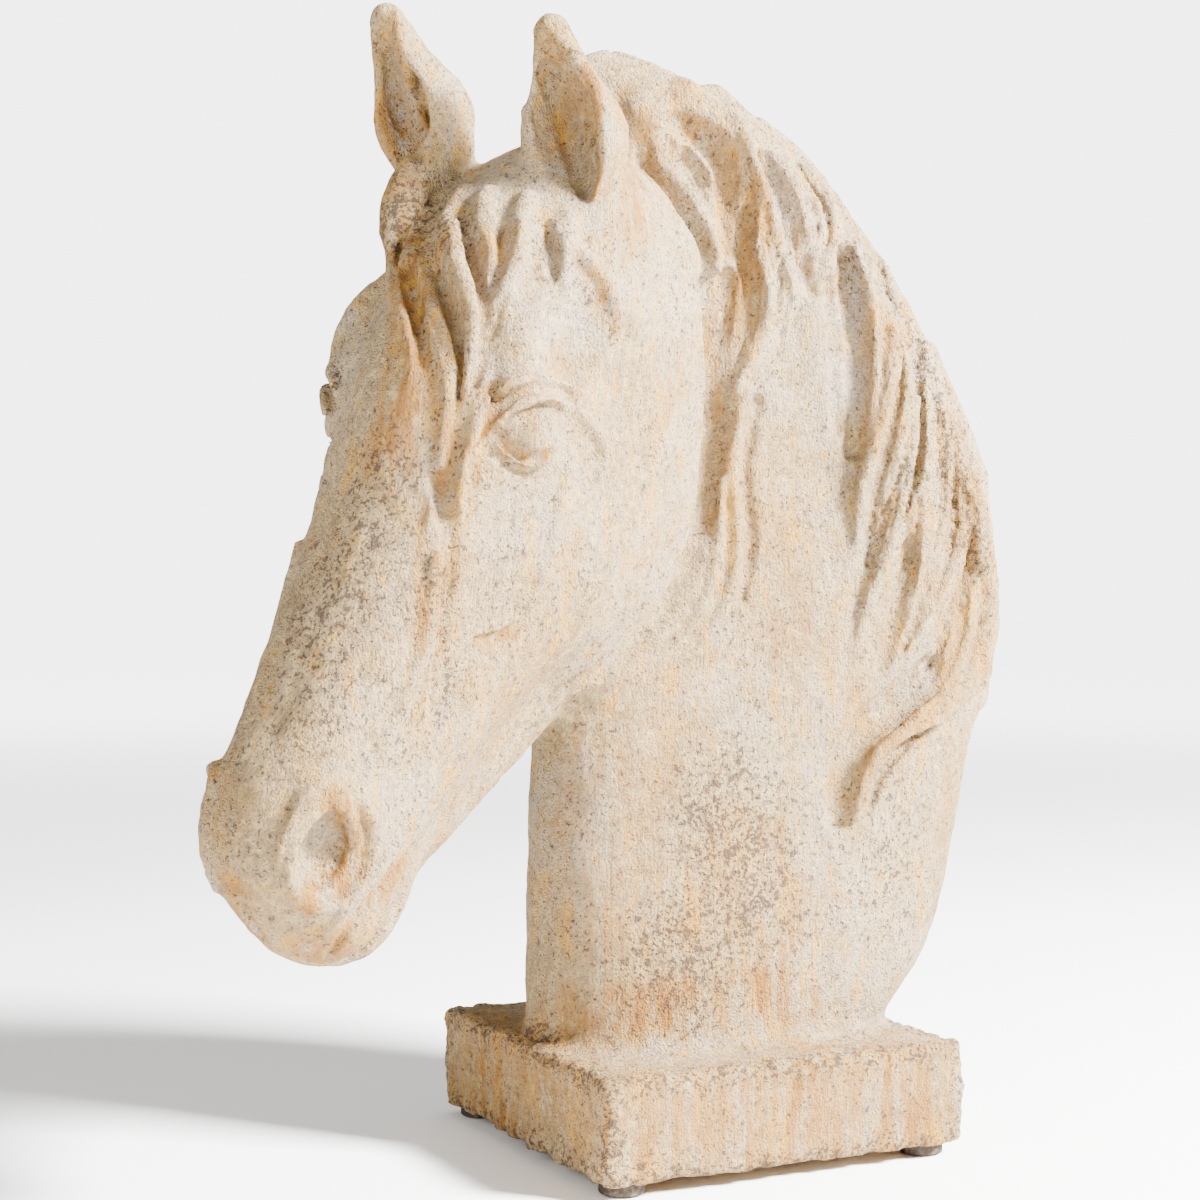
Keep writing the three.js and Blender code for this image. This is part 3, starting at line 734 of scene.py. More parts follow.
        # Brow, cheekbone and nostril
        f = join(f, blob(q, (0.32, -0.05, 0.118), (0.085, 0.045, 0.042)), 0.04)
        f = join(f, bar(q, (0.44, -0.14, 0.122), (0.64, -0.15, 0.082), 0.03, 0.012), 0.05)
        f = join(f, blob(q, (0.9, -0.1, 0.06), (0.066, 0.06, 0.034)), 0.03)
        # Hollow over the brow, eye socket, eyeball, opening of the nostril, and mouth
        f = carved(f, blob(q, (0.26, -0.05, 0.16), (0.07, 0.05, 0.035)), 0.04)
        f = carved(f, blob(q, (0.392, -0.066, 0.162), (0.05, 0.036, 0.028)), 0.02)
        f = join(f, blob(q, (0.386, -0.074, 0.127), (0.041, 0.037, 0.037)), 0.003)
        f = carved(f, blob(q, (0.915, -0.09, 0.097), (0.06, 0.05, 0.05)), 0.01)
        return carved(f, bar(q, (1.02, -0.235, 0.02), (0.87, -0.245, 0.09), 0.008, 0.008), 0.012)

    def ear(self, q: Points) -> np.ndarray:
        """An ear with its hollow.

        Args:
            q: where to measure, in shares up along the ear, out of its hollow, and to its left.

        Returns:
            The distance at each point, in shares.
        """
        shell = bar(q, (0, 0, 0), (0.42, 0, 0), 0.18, 0.27, 0.95)
        shell = join(shell, bar(q, (0.42, 0, 0), (0.945, 0.03, 0), 0.27, 0.1, 0.95), 0.1)
        shell = cut(shell, q[:, 1] - 0.12, 0.05)
        hollow = join(
            bar(q, (0.1, 0.15, 0), (0.5, 0.12, 0), 0.12, 0.195, 0.95),
            bar(q, (0.5, 0.12, 0), (0.86, 0.13, 0), 0.195, 0.065, 0.95),
            0.05,
        )
        return carved(shell, hollow, 0.03)


class Mane:
    """The mane: its bed on the neck, its locks on the left and its roots on the right.

    Args:
        form: the cast's form.
    """

    BED = 1.2
    BLEND = 3
    LOCK_GIRTH = 0.022
    LOCK_SINK = 0.35
    LOCKS = (
        ((-0.11, 0.93), (-0.06, 0.88), (-0.03, 0.83), (-0.01, 0.77)),
        ((-0.06, 0.95), (0.0, 0.9), (0.03, 0.84), (0.02, 0.72), (-0.01, 0.61)),
        ((-0.02, 0.95), (0.04, 0.88), (0.06, 0.79), (0.03, 0.7)),
        ((0.03, 0.92), (0.09, 0.88), (0.11, 0.82), (0.08, 0.76)),
        ((0.1, 0.87), (0.15, 0.81), (0.15, 0.74), (0.18, 0.67)),
        ((0.15, 0.83), (0.2, 0.77), (0.23, 0.7)),
        ((0.14, 0.8), (0.18, 0.7), (0.18, 0.62), (0.15, 0.55), (0.13, 0.48)),
        ((0.21, 0.75), (0.24, 0.66), (0.2, 0.56), (0.15, 0.45), (0.13, 0.38)),
        ((0.26, 0.65), (0.23, 0.56), (0.19, 0.47), (0.13, 0.37)),
        ((0.25, 0.71), (0.28, 0.6), (0.26, 0.48), (0.16, 0.36)),
        ((0.29, 0.68), (0.34, 0.58), (0.36, 0.46), (0.32, 0.34), (0.18, 0.28), (0.115, 0.2)),
        ((0.3, 0.51), (0.27, 0.42), (0.23, 0.35), (0.18, 0.31)),
    )
    ROOTS = 15
    EDGE = ((0.3, 0.26), (0.34, 0.19), (0.45, 0.17), (0.6, 0.13), (0.75, 0.05), (0.9, -0.06), (1.0, -0.2))

    def __init__(self, form: CastForm) -> None:
        self.form = form
        paths = [[(1, y, h) for y, h in lock] for lock in self.LOCKS]
        for number, h in enumerate(np.linspace(0.94, 0.4, self.ROOTS)):
            crest = form.sections(np.array([h]))[0, 1]
            fall = 0.14 + 0.04 * math.sin(2.4 * number)
            steps = ((0.03, 0), (0.06, 0.3), (0.095, 0.7), (0.09, 1))
            paths.append([(-1, crest - back, h - down * fall) for back, down in steps])
        girth = self.LOCK_GIRTH * form.neck_height
        self.strands = []
        for path in paths:
            root = 0.7 if path[0][0] > 0 else 0.2
            self.strands.append(Strand(self.laid(path, girth * self.LOCK_SINK), girth, root=root))

    def laid(self, path: Sequence[tuple[float, float, float]], sink: float) -> Points:
        """Lays a path on the neck.

        Args:
            path: places as the side, -1 or 1, and how far back and up they are, in shares.
            sink: how deep it lies.

        Returns:
            The points on the neck.
        """
        side, y, h = np.array(path).T
        middle = self.form.on_neck(np.column_stack([0 * side, y, h]))
        outer = middle + np.outer(side, LEFT) * self.form.neck_height / 4
        points = surface_along(self.form.bare_neck, middle, outer)
        reach = np.maximum(np.abs(points[:, 0]) - sink, 0)
        return np.column_stack([side * reach, points[:, 1:]])

    def over(self, f: np.ndarray, p: Points) -> np.ndarray:
        """Adds the mane to the bare neck's distance.

        Args:
            f: the bare neck's distance at each point.
            p: the points.

        Returns:
            The distance with the mane.
        """
        h = (p[:, 2] - self.form.plinth_top) / self.form.neck_height
        y = p[:, 1] / self.form.neck_height
        heights, edges = np.array(self.EDGE).T
        inside = (y - np.interp(h, heights, edges)) * self.form.neck_height
        inside = np.minimum(inside, (h - heights[0]) * self.form.neck_height)
        f = f - self.BED * np.clip(inside / 10 + 0.5, 0, 1) * (p[:, 0] > -20)
        for strand in self.strands:
            f = join(f, strand(p), self.BLEND)
        return f


class CarvedCast:
    """The cast as one field of distances, with every lock, lid, lip and groove on it.

    Args:
        form: the cast's form.
        camera: the camera whose pixels place the strokes.
    """

    FORELOCK = (
        ((0.1, -0.125), (0.16, -0.135), (0.22, -0.135), (0.3, -0.11)),
        ((0.1, -0.09), (0.17, -0.085), (0.27, -0.04), (0.36, 0.03)),
        ((0.1, -0.045), (0.19, -0.02), (0.27, 0.05), (0.4, 0.1), (0.58, 0.1)),
        ((0.11, 0.0), (0.16, 0.02), (0.22, 0.06), (0.3, 0.07)),
        ((0.11, 0.05), (0.16, 0.065), (0.22, 0.08), (0.3, 0.1)),
        ((0.12, 0.1), (0.16, 0.11), (0.21, 0.12)),
    )
    FORELOCK_GIRTH = 0.014
    FAR_LOCK_GIRTH = 0.028
    FAR_LOCKS = (
        ((0.03, 0.0, -0.1), (0.09, 0.01, -0.12), (0.15, 0.0, -0.122), (0.19, -0.03, -0.115)),
        ((0.22, -0.03, -0.115), (0.27, -0.04, -0.15), (0.33, -0.06, -0.155), (0.4, -0.09, -0.14)),
    )
    # Each ear's root on the head, and how far it leans forward and faces left, in degrees
    EARS = (((0.085, -0.07, 0.092), 12, 42), ((0.07, -0.045, -0.118), 18, 20))
    HEAD_REACH = 0.6
    EAR_REACH = 0.68
    ROOM = 16
    HAIR_BLEND = 3
    JOIN_BLEND = 7
    PLINTH_BLEND = 9
    PLINTH_OVERLAP = 6

    def __init__(self, form: CastForm, camera: PhotoCamera) -> None:
        self.form = form
        self.camera = camera
        axes = turn(2, form.head_turn) @ turn(0, form.head_nod) @ turn(1, -form.head_tilt)
        axes = axes @ np.column_stack([FORWARD, UP, LEFT])
        poll = form.on_neck([(0.0984, -0.2387, 0.9)])[0]
        self.head = Pose(poll, axes, form.head_length)
        self.ears = [
            Pose(
                self.head.outward(np.array(root)),
                turn(0, lean) @ turn(2, facing) @ np.column_stack([UP, FORWARD, LEFT]),
                form.ear_length,
            )
            for root, lean, facing in self.EARS
        ]
        self.mane = Mane(form)
        self.forelock = [self.on_face(path) for path in self.FORELOCK]
        self.forelock += [Strand(np.array(path), self.FAR_LOCK_GIRTH, 0.5, 0.6) for path in self.FAR_LOCKS]
        # Strokes land on the cast as it is so far, the neck's after the face's
        self.face: list[tuple[Strand, Stroke]] = []
        self.neck: list[tuple[Strand, Stroke]] = []
        self.face = self.strands(FACE_STROKES, self.head)
        self.neck = self.strands(MANE_STROKES, None)

    def on_face(self, path: Sequence[tuple[float, float]]) -> Strand:
        """A strand of the forelock, laid on the skull.

        Args:
            path: places along the face and to its left, in shares.

        Returns:
            The strand, in shares.
        """
        a, left = np.array(path).T
        inner = np.column_stack([a, np.full_like(a, -0.1), left])
        points = surface_along(self.form.skull, inner, inner + [0, 0.3, 0])
        return Strand(points, self.FORELOCK_GIRTH, root=0.35)

    def strands(self, strokes: Sequence[Stroke], pose: Pose | None) -> list[tuple[Strand, Stroke]]:
        """Lays strokes on the surface as strands.

        Args:
            strokes: the strokes.
            pose: the head's pose for its shares, or nothing for mm.

        Returns:
            The strokes in sight, each with its strand.
        """
        unit = pose.unit if pose else 1
        found = []
        for stroke, path in zip(strokes, self.camera.traced(self, [stroke.path for stroke in strokes])):
            if len(path) < 2:
                log.info("%s: not in sight", stroke.name)
                continue
            if len(path) < len(stroke.path):
                log.info("%s: %d of %d points in sight", stroke.name, len(path), len(stroke.path))
            tip, root = (0.6, 0.7) if stroke.relief is Relief.SUNK else (0.3, 0.4)
            line = pose.inward(path) if pose else path
            found.append((Strand(line, stroke.girth / unit, tip, root), stroke))
        return found

    def carve(
        self, f: np.ndarray, p: Points, strands: Sequence[tuple[Strand, Stroke]], unit: float
    ) -> np.ndarray:
        """Raises and sinks the strokes.

        Args:
            f: the distance before them, at each point.
            p: the points.
            strands: the strokes with their strands.
            unit: how many mm a unit of the points has.

        Returns:
            The distance with them.
        """
        for strand, stroke in strands:
            near = strand(p)
            if stroke.both:
                near = np.minimum(near, strand(p * [1, 1, -1]))
            blend = min(2, 0.6 * stroke.girth) / unit
            if stroke.relief is Relief.RAISED:
                f = join(f, near + 0.1 * stroke.girth / unit, blend)
            else:
                f = carved(f, near - 0.15 * stroke.girth / unit, blend)
        return f

    def head_field(self, p: Points) -> np.ndarray:
        """The head with its forelock and strokes.

        Args:
            p: where to measure.

        Returns:
            The distance at each point.
        """
        q = self.head.inward(p)
        out = (np.linalg.norm(q - [0.45, -0.2, 0], axis=1) - self.HEAD_REACH) * self.head.unit
        near = out < self.ROOM
        if near.any():
            q = q[near]
            f = self.form.skull(q)
            for strand in self.forelock:
                f = join(f, strand(q), self.HAIR_BLEND / self.head.unit)
            out[near] = self.carve(f, q, self.face, self.head.unit) * self.head.unit
        return out

    def ear_field(self, p: Points, ear: Pose) -> np.ndarray:
        """An ear in its place.

        Args:
            p: where to measure.
            ear: the ear's pose.

        Returns:
            The distance at each point.
        """
        q = ear.inward(p)
        out = (np.linalg.norm(q - [0.45, 0, 0], axis=1) - self.EAR_REACH) * ear.unit
        near = out < self.ROOM
        out[near] = self.form.ear(q[near]) * ear.unit
        return out

    def __call__(self, p: Points) -> np.ndarray:
        """The whole cast.

        Args:
            p: where to measure.

        Returns:
            The distance at each point, in mm.
        """
        f = self.mane.over(self.form.bare_neck(p), p)
        f = join(f, self.head_field(p), self.JOIN_BLEND)
        for ear in self.ears:
            f = join(f, self.ear_field(p, ear), self.JOIN_BLEND)
        f = self.carve(f, p, self.neck, 1)
        f = np.maximum(f, self.form.plinth_top - self.PLINTH_OVERLAP - p[:, 2])
        return join(f, self.form.plinth(p), self.PLINTH_BLEND)


def fractal(points: Points, size: float, seed: float, octaves: int = 3) -> np.ndarray:
    """Smooth noise.

    Args:
        points: where to take it.
        size: the size of its lumps, in mm.
        seed: which noise it is.
        octaves: how many finer layers it has.

    Returns:
        A value between about -1 and 1 for each point.
    """
    shift = Vector((seed * 17.3, seed * 7.1, seed * 3.7))
    values = [noise.fractal(Vector(p) / size + shift, 0.8, 2.1, octaves) for p in points]
    return np.array(values)


class Tint(Enum):
    """What a stain brings to the surface."""

    RUST = "rust"
    GREY = "grey"
    PITTED = "pitted"
    BARE = "bare"


@dataclass(frozen=True)
class Stain:
    """A soft-edged place on the cast, by the pixels that show it.

    Args:
        name: what it is.
        tint: what it brings.
        path: pixels along it.
        reach: its half width, in mm.
        strength: its share at its middle.
    """

    name: str
    tint: Tint
    path: Pixels
    reach: float
    strength: float


STAINS = (
    # Painted shade with bare cement: the face's front, turned from the key lamp, is bared darker and warmer
    # for its shade as well as for worn wash
    Stain(
        "face front",
        Tint.BARE,
        ((400, 330), (370, 430), (335, 540), (305, 640), (275, 740), (250, 850)),
        26, 1.0,
    ),
    Stain("forehead", Tint.BARE, ((400, 195), (430, 215), (470, 250)), 18, 1.0),
    Stain("temple", Tint.BARE, ((500, 300), (560, 300), (600, 320)), 12, 0.5),
    Stain("mid neck", Tint.BARE, ((600, 740), (700, 800), (740, 900), (700, 960)), 30, 0.9),
    Stain("upper neck", Tint.BARE, ((730, 420), (770, 540), (800, 650)), 20, 0.7),
    # Painted shadow with bare cement: darker under the jaw, where the head's shadow falls on the neck
    Stain("under the jaw", Tint.BARE, ((690, 590), (620, 690), (520, 730)), 16, 0.9),
    Stain("mane", Tint.BARE, ((850, 280), (880, 420), (900, 560), (880, 650)), 22, 0.7),
    Stain("mane tail", Tint.BARE, ((960, 480), (980, 600), (950, 700), (870, 770)), 18, 1.0),
    Stain("crest", Tint.BARE, ((630, 80), (720, 120), (790, 160)), 12, 0.7),
    Stain("near ear", Tint.BARE, ((555, 50), (585, 110), (590, 170)), 14, 0.9),
    Stain("far ear", Tint.BARE, ((380, 50), (385, 110), (410, 150)), 14, 0.9),
    Stain("chin", Tint.BARE, ((230, 890), (280, 935), (340, 940)), 14, 0.7),
    Stain("plinth, front", Tint.BARE, ((460, 1040), (520, 1080), (590, 1120)), 30, 1.0),
    Stain("plinth, near side", Tint.BARE, ((640, 1130), (760, 1110), (900, 1090)), 22, 0.5),
    Stain(
        "forelock",
        Tint.RUST,
        ((398, 236), (408, 280), (420, 330), (410, 380), (392, 440), (384, 480)),
        9, 1.0,
    ),
    Stain("forelock, near side", Tint.RUST, ((440, 236), (452, 300), (462, 350), (452, 420)), 8, 0.55),
    Stain(
        "down the face",
        Tint.RUST,
        ((446, 430), (440, 470), (430, 510), (428, 570), (430, 640)),
        5, 0.8,
    ),
    Stain("face edge", Tint.RUST, ((455, 560), (435, 650), (420, 720)), 6, 0.45),
    Stain("nostril rim", Tint.RUST, ((338, 800), (352, 845), (334, 885), (305, 905)), 6, 1.0),
    Stain("mouth corner", Tint.RUST, ((412, 846), (400, 862), (375, 895)), 6, 0.9),
    Stain("lips", Tint.RUST, ((345, 925), (325, 955), (300, 950)), 9, 0.8),
    Stain("far lip", Tint.RUST, ((238, 885), (250, 930)), 7, 0.8),
    Stain("near ear rim", Tint.RUST, ((560, 40), (590, 80), (603, 130), (598, 185)), 5, 0.9),
    Stain("near ear tip", Tint.RUST, ((534, 22), (548, 50)), 5, 0.6),
    Stain("far ear", Tint.RUST, ((372, 85), (385, 115), (405, 150)), 7, 0.8),
    Stain("far ear ridge", Tint.RUST, ((392, 25), (404, 70), (420, 115), (440, 150)), 4, 0.7),
    Stain("tear fold", Tint.RUST, ((491, 392), (489, 426), (474, 446), (473, 478)), 3.4, 1.0),
    Stain("lower lid", Tint.RUST, ((508, 450), (524, 458), (542, 456)), 3.4, 1.0),
    Stain("temple", Tint.RUST, ((608, 292), (613, 325)), 3.6, 0.9),
    Stain("cheek line", Tint.RUST, ((478, 640), (500, 636), (515, 628)), 3.6, 0.9),
    Stain("jaw", Tint.RUST, ((480, 690), (520, 700), (560, 640)), 8, 0.4),
    Stain("mane recess", Tint.RUST, ((676, 125), (712, 145), (726, 190), (735, 250)), 8, 0.45),
    Stain("mane part", Tint.RUST, ((764, 190), (752, 250), (735, 300), (705, 385)), 8, 0.7),
    Stain("behind the cheek", Tint.RUST, ((712, 360), (712, 410)), 6, 0.6),
    Stain("mane edge", Tint.RUST, ((886, 330), (890, 380), (880, 440)), 8, 0.6),
    Stain("outer mane", Tint.RUST, ((950, 420), (968, 500), (975, 590), (955, 650)), 9, 0.5),
    Stain("tail lock", Tint.RUST, ((985, 665), (940, 705), (885, 745), (860, 800)), 6, 0.6),
    Stain("neck", Tint.RUST, ((760, 480), (770, 560), (800, 640)), 22, 0.35),
    Stain("lower neck", Tint.RUST, ((650, 720), (640, 800), (600, 900)), 20, 0.3),
    Stain("neck foot", Tint.RUST, ((600, 1015), (650, 1010), (760, 990), (790, 1000)), 11, 1.0),
    Stain("plinth, near side", Tint.RUST, ((640, 1130), (760, 1110), (900, 1090)), 22, 0.65),
    Stain("plinth, front", Tint.RUST, ((480, 1040), (540, 1080), (590, 1110)), 20, 0.5),
    Stain("forehead", Tint.GREY, ((470, 250), (490, 280)), 8, 0.5),
    Stain("temple", Tint.GREY, ((545, 290), (580, 310)), 12, 0.7),
    Stain("by the forelock", Tint.GREY, ((488, 350), (492, 380)), 7, 0.6),
    Stain("pale recess", Tint.GREY, ((770, 170), (792, 230), (800, 270)), 7, 0.7),
    Stain("grey recess", Tint.GREY, ((840, 262), (846, 320), (850, 400)), 10, 0.9),
    Stain("near ear", Tint.GREY, ((545, 145), (565, 165)), 6, 0.9),
    Stain("far ear", Tint.GREY, ((398, 100), (412, 150)), 6, 0.9),
    Stain("nostril", Tint.GREY, ((325, 825), (320, 870)), 8, 0.7),
    Stain("lower mane", Tint.GREY, ((925, 655), (890, 700)), 9, 0.7),
    Stain("neck", Tint.GREY, ((560, 800), (620, 780)), 16, 0.4),
    Stain("forehead", Tint.PITTED, ((400, 215), (440, 235)), 12, 1.0),
    Stain("nose", Tint.PITTED, ((380, 470), (350, 560), (320, 640), (315, 700)), 14, 0.8),
    Stain("cheek", Tint.PITTED, ((430, 590), (440, 680), (400, 740)), 10, 0.6),
    Stain("neck", Tint.PITTED, ((730, 810), (745, 880), (690, 960)), 24, 1.0),
    Stain("outer mane", Tint.PITTED, ((910, 330), (940, 430), (975, 560)), 9, 0.9),
    Stain("neck, back", Tint.PITTED, ((900, 800), (880, 900)), 18, 0.5),
    Stain("plinth, front edge", Tint.PITTED, ((470, 1000), (530, 1035), (607, 1085)), 6, 1.0),
    Stain("plinth, near edge", Tint.PITTED, ((607, 1085), (700, 1072), (860, 1055)), 6, 0.9),
)


def linear(colour: str) -> tuple[float, float, float, float]:
    """An sRGB hex colour as linear light.

    Args:
        colour: its six hex digits.

    Returns:
        Its linear red, green and blue, and 1.
    """
    parts = [int(colour[i : i + 2], 16) / 255 for i in (0, 2, 4)]
    light = [c / 12.92 if c <= 0.04045 else ((c + 0.055) / 1.055) ** 2.4 for c in parts]
    return (*light, 1.0)


Part = str | float | bpy.types.NodeSocket | tuple[bpy.types.NodeSocket, float, float]


class Shader:
    """A material's node tree, built a node at a time.

    Args:
        name: the material's name.
    """

    def __init__(self, name: str) -> None:
        self.material = bpy.data.materials.new(name)
        self.material.use_nodes = True
        self.tree = self.material.node_tree
        self.surface = self.tree.nodes["Principled BSDF"]

    def node(self, kind: str, output: int | str = 0, **sockets: object) -> bpy.types.NodeSocket:
        """Adds a node.

        Args:
            kind: the node's type, after ShaderNode.
            output: which of its outputs to return.
            sockets: its settings, or its inputs as in_NAME or in_NUMBER.

        Returns:
            The output socket.
        """
        made = self.tree.nodes.new("ShaderNode" + kind)
        for key, value in sockets.items():
            if not key.startswith("in_"):
                setattr(made, key, value)
        for key, value in sockets.items():
            if key.startswith("in_"):
                name = key[3:]
                socket = made.inputs[int(name) if name.isdigit() else name.replace("_", " ")]
                self.feed(socket, value)
        return made.outputs[output]

    def feed(self, socket: bpy.types.NodeSocket, value: object) -> None:
        """Links a socket to another, or sets its constant.

        Args:
            socket: the socket to feed.
            value: another socket, a hex colour or a constant.
        """
        if isinstance(value, bpy.types.NodeSocket):
            self.tree.links.new(value, socket)
        elif isinstance(value, str):
            socket.default_value = linear(value)
        else:
            socket.default_value = value

    def lumps(
        self,
        size: float,
        detail: float = 3,
        rough: float = 0.55,
        stretch: tuple[float, float, float] = (1, 1, 1),
    ) -> bpy.types.NodeSocket:
        """Cloudy noise on the piece's own coordinates.

        Args:
            size: the size of its lumps, in mm.
            detail: how many finer layers it has.
            rough: how strong they are.
            stretch: how many times as long the lumps are along each axis.

        Returns:
            The noise, around 0.5.
        """
        at = self.node("TexCoord", "Object")
        scale = [1 / MM / times for times in stretch]
        at = self.node("VectorMath", operation="MULTIPLY", in_0=at, in_1=scale)
        return self.node("TexNoise", in_Vector=at, in_Scale=1 / size, in_Detail=detail, in_Roughness=rough)

    def cover(self, *parts: Part) -> bpy.types.NodeSocket:
        """How much of the surface something covers.

        Args:
            parts: attributes by their names, values, or a value with the two levels between
                which it goes smoothly from 0 to 1.

        Returns:
            Their product, from 0 to 1.
        """
        product: object = None
        for part in parts:
            if isinstance(part, str):
                part = self.node("Attribute", "Fac", attribute_name=part)
            elif isinstance(part, tuple):
                value, low, high = part
                part = self.node(
                    "MapRange",
                    interpolation_type="SMOOTHSTEP",
                    in_Value=value,
                    in_From_Min=low,
                    in_From_Max=high,
                )
            if product is None:
                product = part
            else:
                product = self.node("Math", operation="MULTIPLY", use_clamp=True, in_0=product, in_1=part)
        return product

    def layer(self, below: object, above: object, *parts: Part) -> bpy.types.NodeSocket:
        """Lays one colour over another where the parts cover it."""
        return self.node("Mix", 2, data_type="RGBA", in_0=self.cover(*parts), in_6=below, in_7=above)

    def finish(self, colour: object, roughness: object, height: object, depth: float) -> bpy.types.Material:
        """Feeds the surface.

        Args:
            colour: the base colour.
            roughness: its roughness.
            height: the relief's height, from 0 to 1.
            depth: the relief's depth, in mm.

        Returns:
            The material.
        """
        bump = self.node("Bump", in_Strength=1.0, in_Distance=depth * MM, in_Height=height)
        self.feed(self.surface.inputs["Base Color"], colour)
        self.feed(self.surface.inputs["Roughness"], roughness)
        self.feed(self.surface.inputs["Normal"], bump)
        self.feed(self.surface.inputs["Specular IOR Level"], 0.25)
        return self.material


@dataclass(frozen=True)
class CastCement:
    """Cast cement: a sandy grey-beige body under a lime wash, with rust from rainwater.

    The cement shows as beige with a fine grain. The wash is cream and thicker on what stands
    out. Water left ochre in the hollows, and air bubbles and wear left brown pits. The hollows
    are also painted darker brown, as painted shade with some dirt.
    """

    body: str = "B7A068"
    blush: str = "C4AC76"
    wash: str = "FBF7E6"
    ochre: str = "B68522"
    rust: str = "72430D"
    # Brown for soot, flecks and grain, and for the painted shade in the hollows
    hollow: str = "715940"
    grey: str = "B9B4AB"
    chalk: str = "DCE0E1"
    pit: str = "46362A"
    blush_mm: float = 46
    wash_mm: float = 15
    mottle_mm: float = 3.4
    soot_mm: float = 9
    streak_mm: float = 5.5
    trickle_mm: float = 8
    brush_mm: float = 1.3
    fleck_mm: float = 2.4
    # Sand is finer than this, and would not show in the picture
    grain_mm: float = 0.9
    pit_mm: float = 3.4
    pinhole_mm: float = 1.5
    pit_crowd_mm: float = 26
    relief_mm: float = 4

    def material(self) -> bpy.types.Material:
        """Builds the material."""
        s = Shader("cast_cement")
        patch = s.lumps(self.wash_mm, 5, 0.7)
        mottle = s.lumps(self.mottle_mm, 5, 0.7)
        grain = s.lumps(self.grain_mm, 2, 0.6)
        brush = s.lumps(self.brush_mm, 2, 0.6, (1, 1, 9))
        colour = self.washed(s, patch, mottle, brush)
        colour = self.rusted(s, colour, mottle)
        colour = self.flecked(s, colour, grain)
        marks = self.pits(s)
        colour = s.layer(colour, self.pit, marks, 0.85)

        height = s.cover(grain, 0.4)
        for part, operation, share in ((mottle, "ADD", 0.4), (brush, "ADD", 0.2), (marks, "SUBTRACT", 0.3)):
            height = s.node(
                "Math", operation=operation, use_clamp=True, in_0=height, in_1=s.cover(part, share)
            )
        roughness = s.node("Math", operation="ADD", use_clamp=True, in_0=0.82, in_1=s.cover(mottle, 0.15))
        return s.finish(colour, roughness, height, self.relief_mm)

    def washed(self, s: Shader, patch: object, mottle: object, brush: object) -> bpy.types.NodeSocket:
        """The body under its lime wash, with brush marks, soot, grey patches, and dirt with painted shade
        in the hollows.

        Args:
            s: the material's shader.
            patch: noise as wide as the wash's patches.
            mottle: noise as wide as a fingertip's dabs.
            brush: noise as long as brush marks.

        Returns:
            The colour.
        """
        bare = Tint.BARE.value
        colour = s.layer(self.body, self.blush, (s.lumps(self.blush_mm), 0.35, 0.65))
        kept = s.node("Math", operation="SUBTRACT", use_clamp=True, in_0=1.0, in_1=s.cover(bare, 0.8))
        wash = s.cover((patch, 0.33, 0.58), (mottle, 0.36, 0.58), kept)
        wash = s.node("Math", operation="ADD", use_clamp=True, in_0=wash, in_1=s.cover("proud", 0.8))
        colour = s.layer(colour, self.wash, wash, 0.9)
        colour = s.layer(colour, self.body, (brush, 0.48, 0.66), 0.35)
        colour = s.layer(colour, self.hollow, (s.lumps(self.soot_mm, 5, 0.75), 0.47, 0.62), bare, 0.5)
        greys = s.layer(self.grey, self.chalk, (mottle, 0.45, 0.6))
        colour = s.layer(colour, greys, Tint.GREY.value, (patch, 0.3, 0.6), 0.75)
        # Painted shade: the hollows are darkened brown by how enclosed they are, partly dirt and partly
        # shade painted in
        return s.layer(colour, self.hollow, "cavity", (mottle, 0.2, 0.6), 0.8)

    def rusted(self, s: Shader, colour: object, mottle: object) -> bpy.types.NodeSocket:
        """Lays ochre where water ran, and rust where it stood.

        Args:
            s: the material's shader.
            colour: the colour below.
            mottle: noise as wide as a fingertip's dabs.

        Returns:
            The colour.
        """
        streaks = s.lumps(self.streak_mm, 4, 0.6, (1, 1, 7))
        streaked = s.cover(Tint.RUST.value, (streaks, 0.34, 0.62))
        colour = s.layer(colour, self.ochre, streaked, 0.75)
        stood = s.node(
            "Math",
            operation="ADD",
            use_clamp=True,
            in_0=s.cover("cavity"),
            in_1=s.cover((mottle, 0.52, 0.66)),
        )
        colour = s.layer(colour, self.rust, streaked, stood, 0.8)
        trickles = s.lumps(self.trickle_mm, 4, 0.65, (1, 1, 3.5))
        return s.layer(colour, self.ochre, (trickles, 0.53, 0.68), 0.6)

    def flecked(self, s: Shader, colour: object, grain: object) -> bpy.types.NodeSocket:
        """Lays brown flecks, thickest where the wash is gone, and the grain of the sand.

        Args:
            s: the material's shader.
            colour: the colour below.
            grain: noise as fine as the grain.

        Returns:
            The colour.
        """
        thick = s.node(
            "Math", operation="ADD", use_clamp=True, in_0=0.3, in_1=s.cover(Tint.BARE.value, 0.4)
        )
        colour = s.layer(colour, self.hollow, (s.lumps(self.fleck_mm, 4, 0.7), 0.55, 0.64), thick)
        return s.layer(colour, self.hollow, (grain, 0.48, 0.66), 0.55)

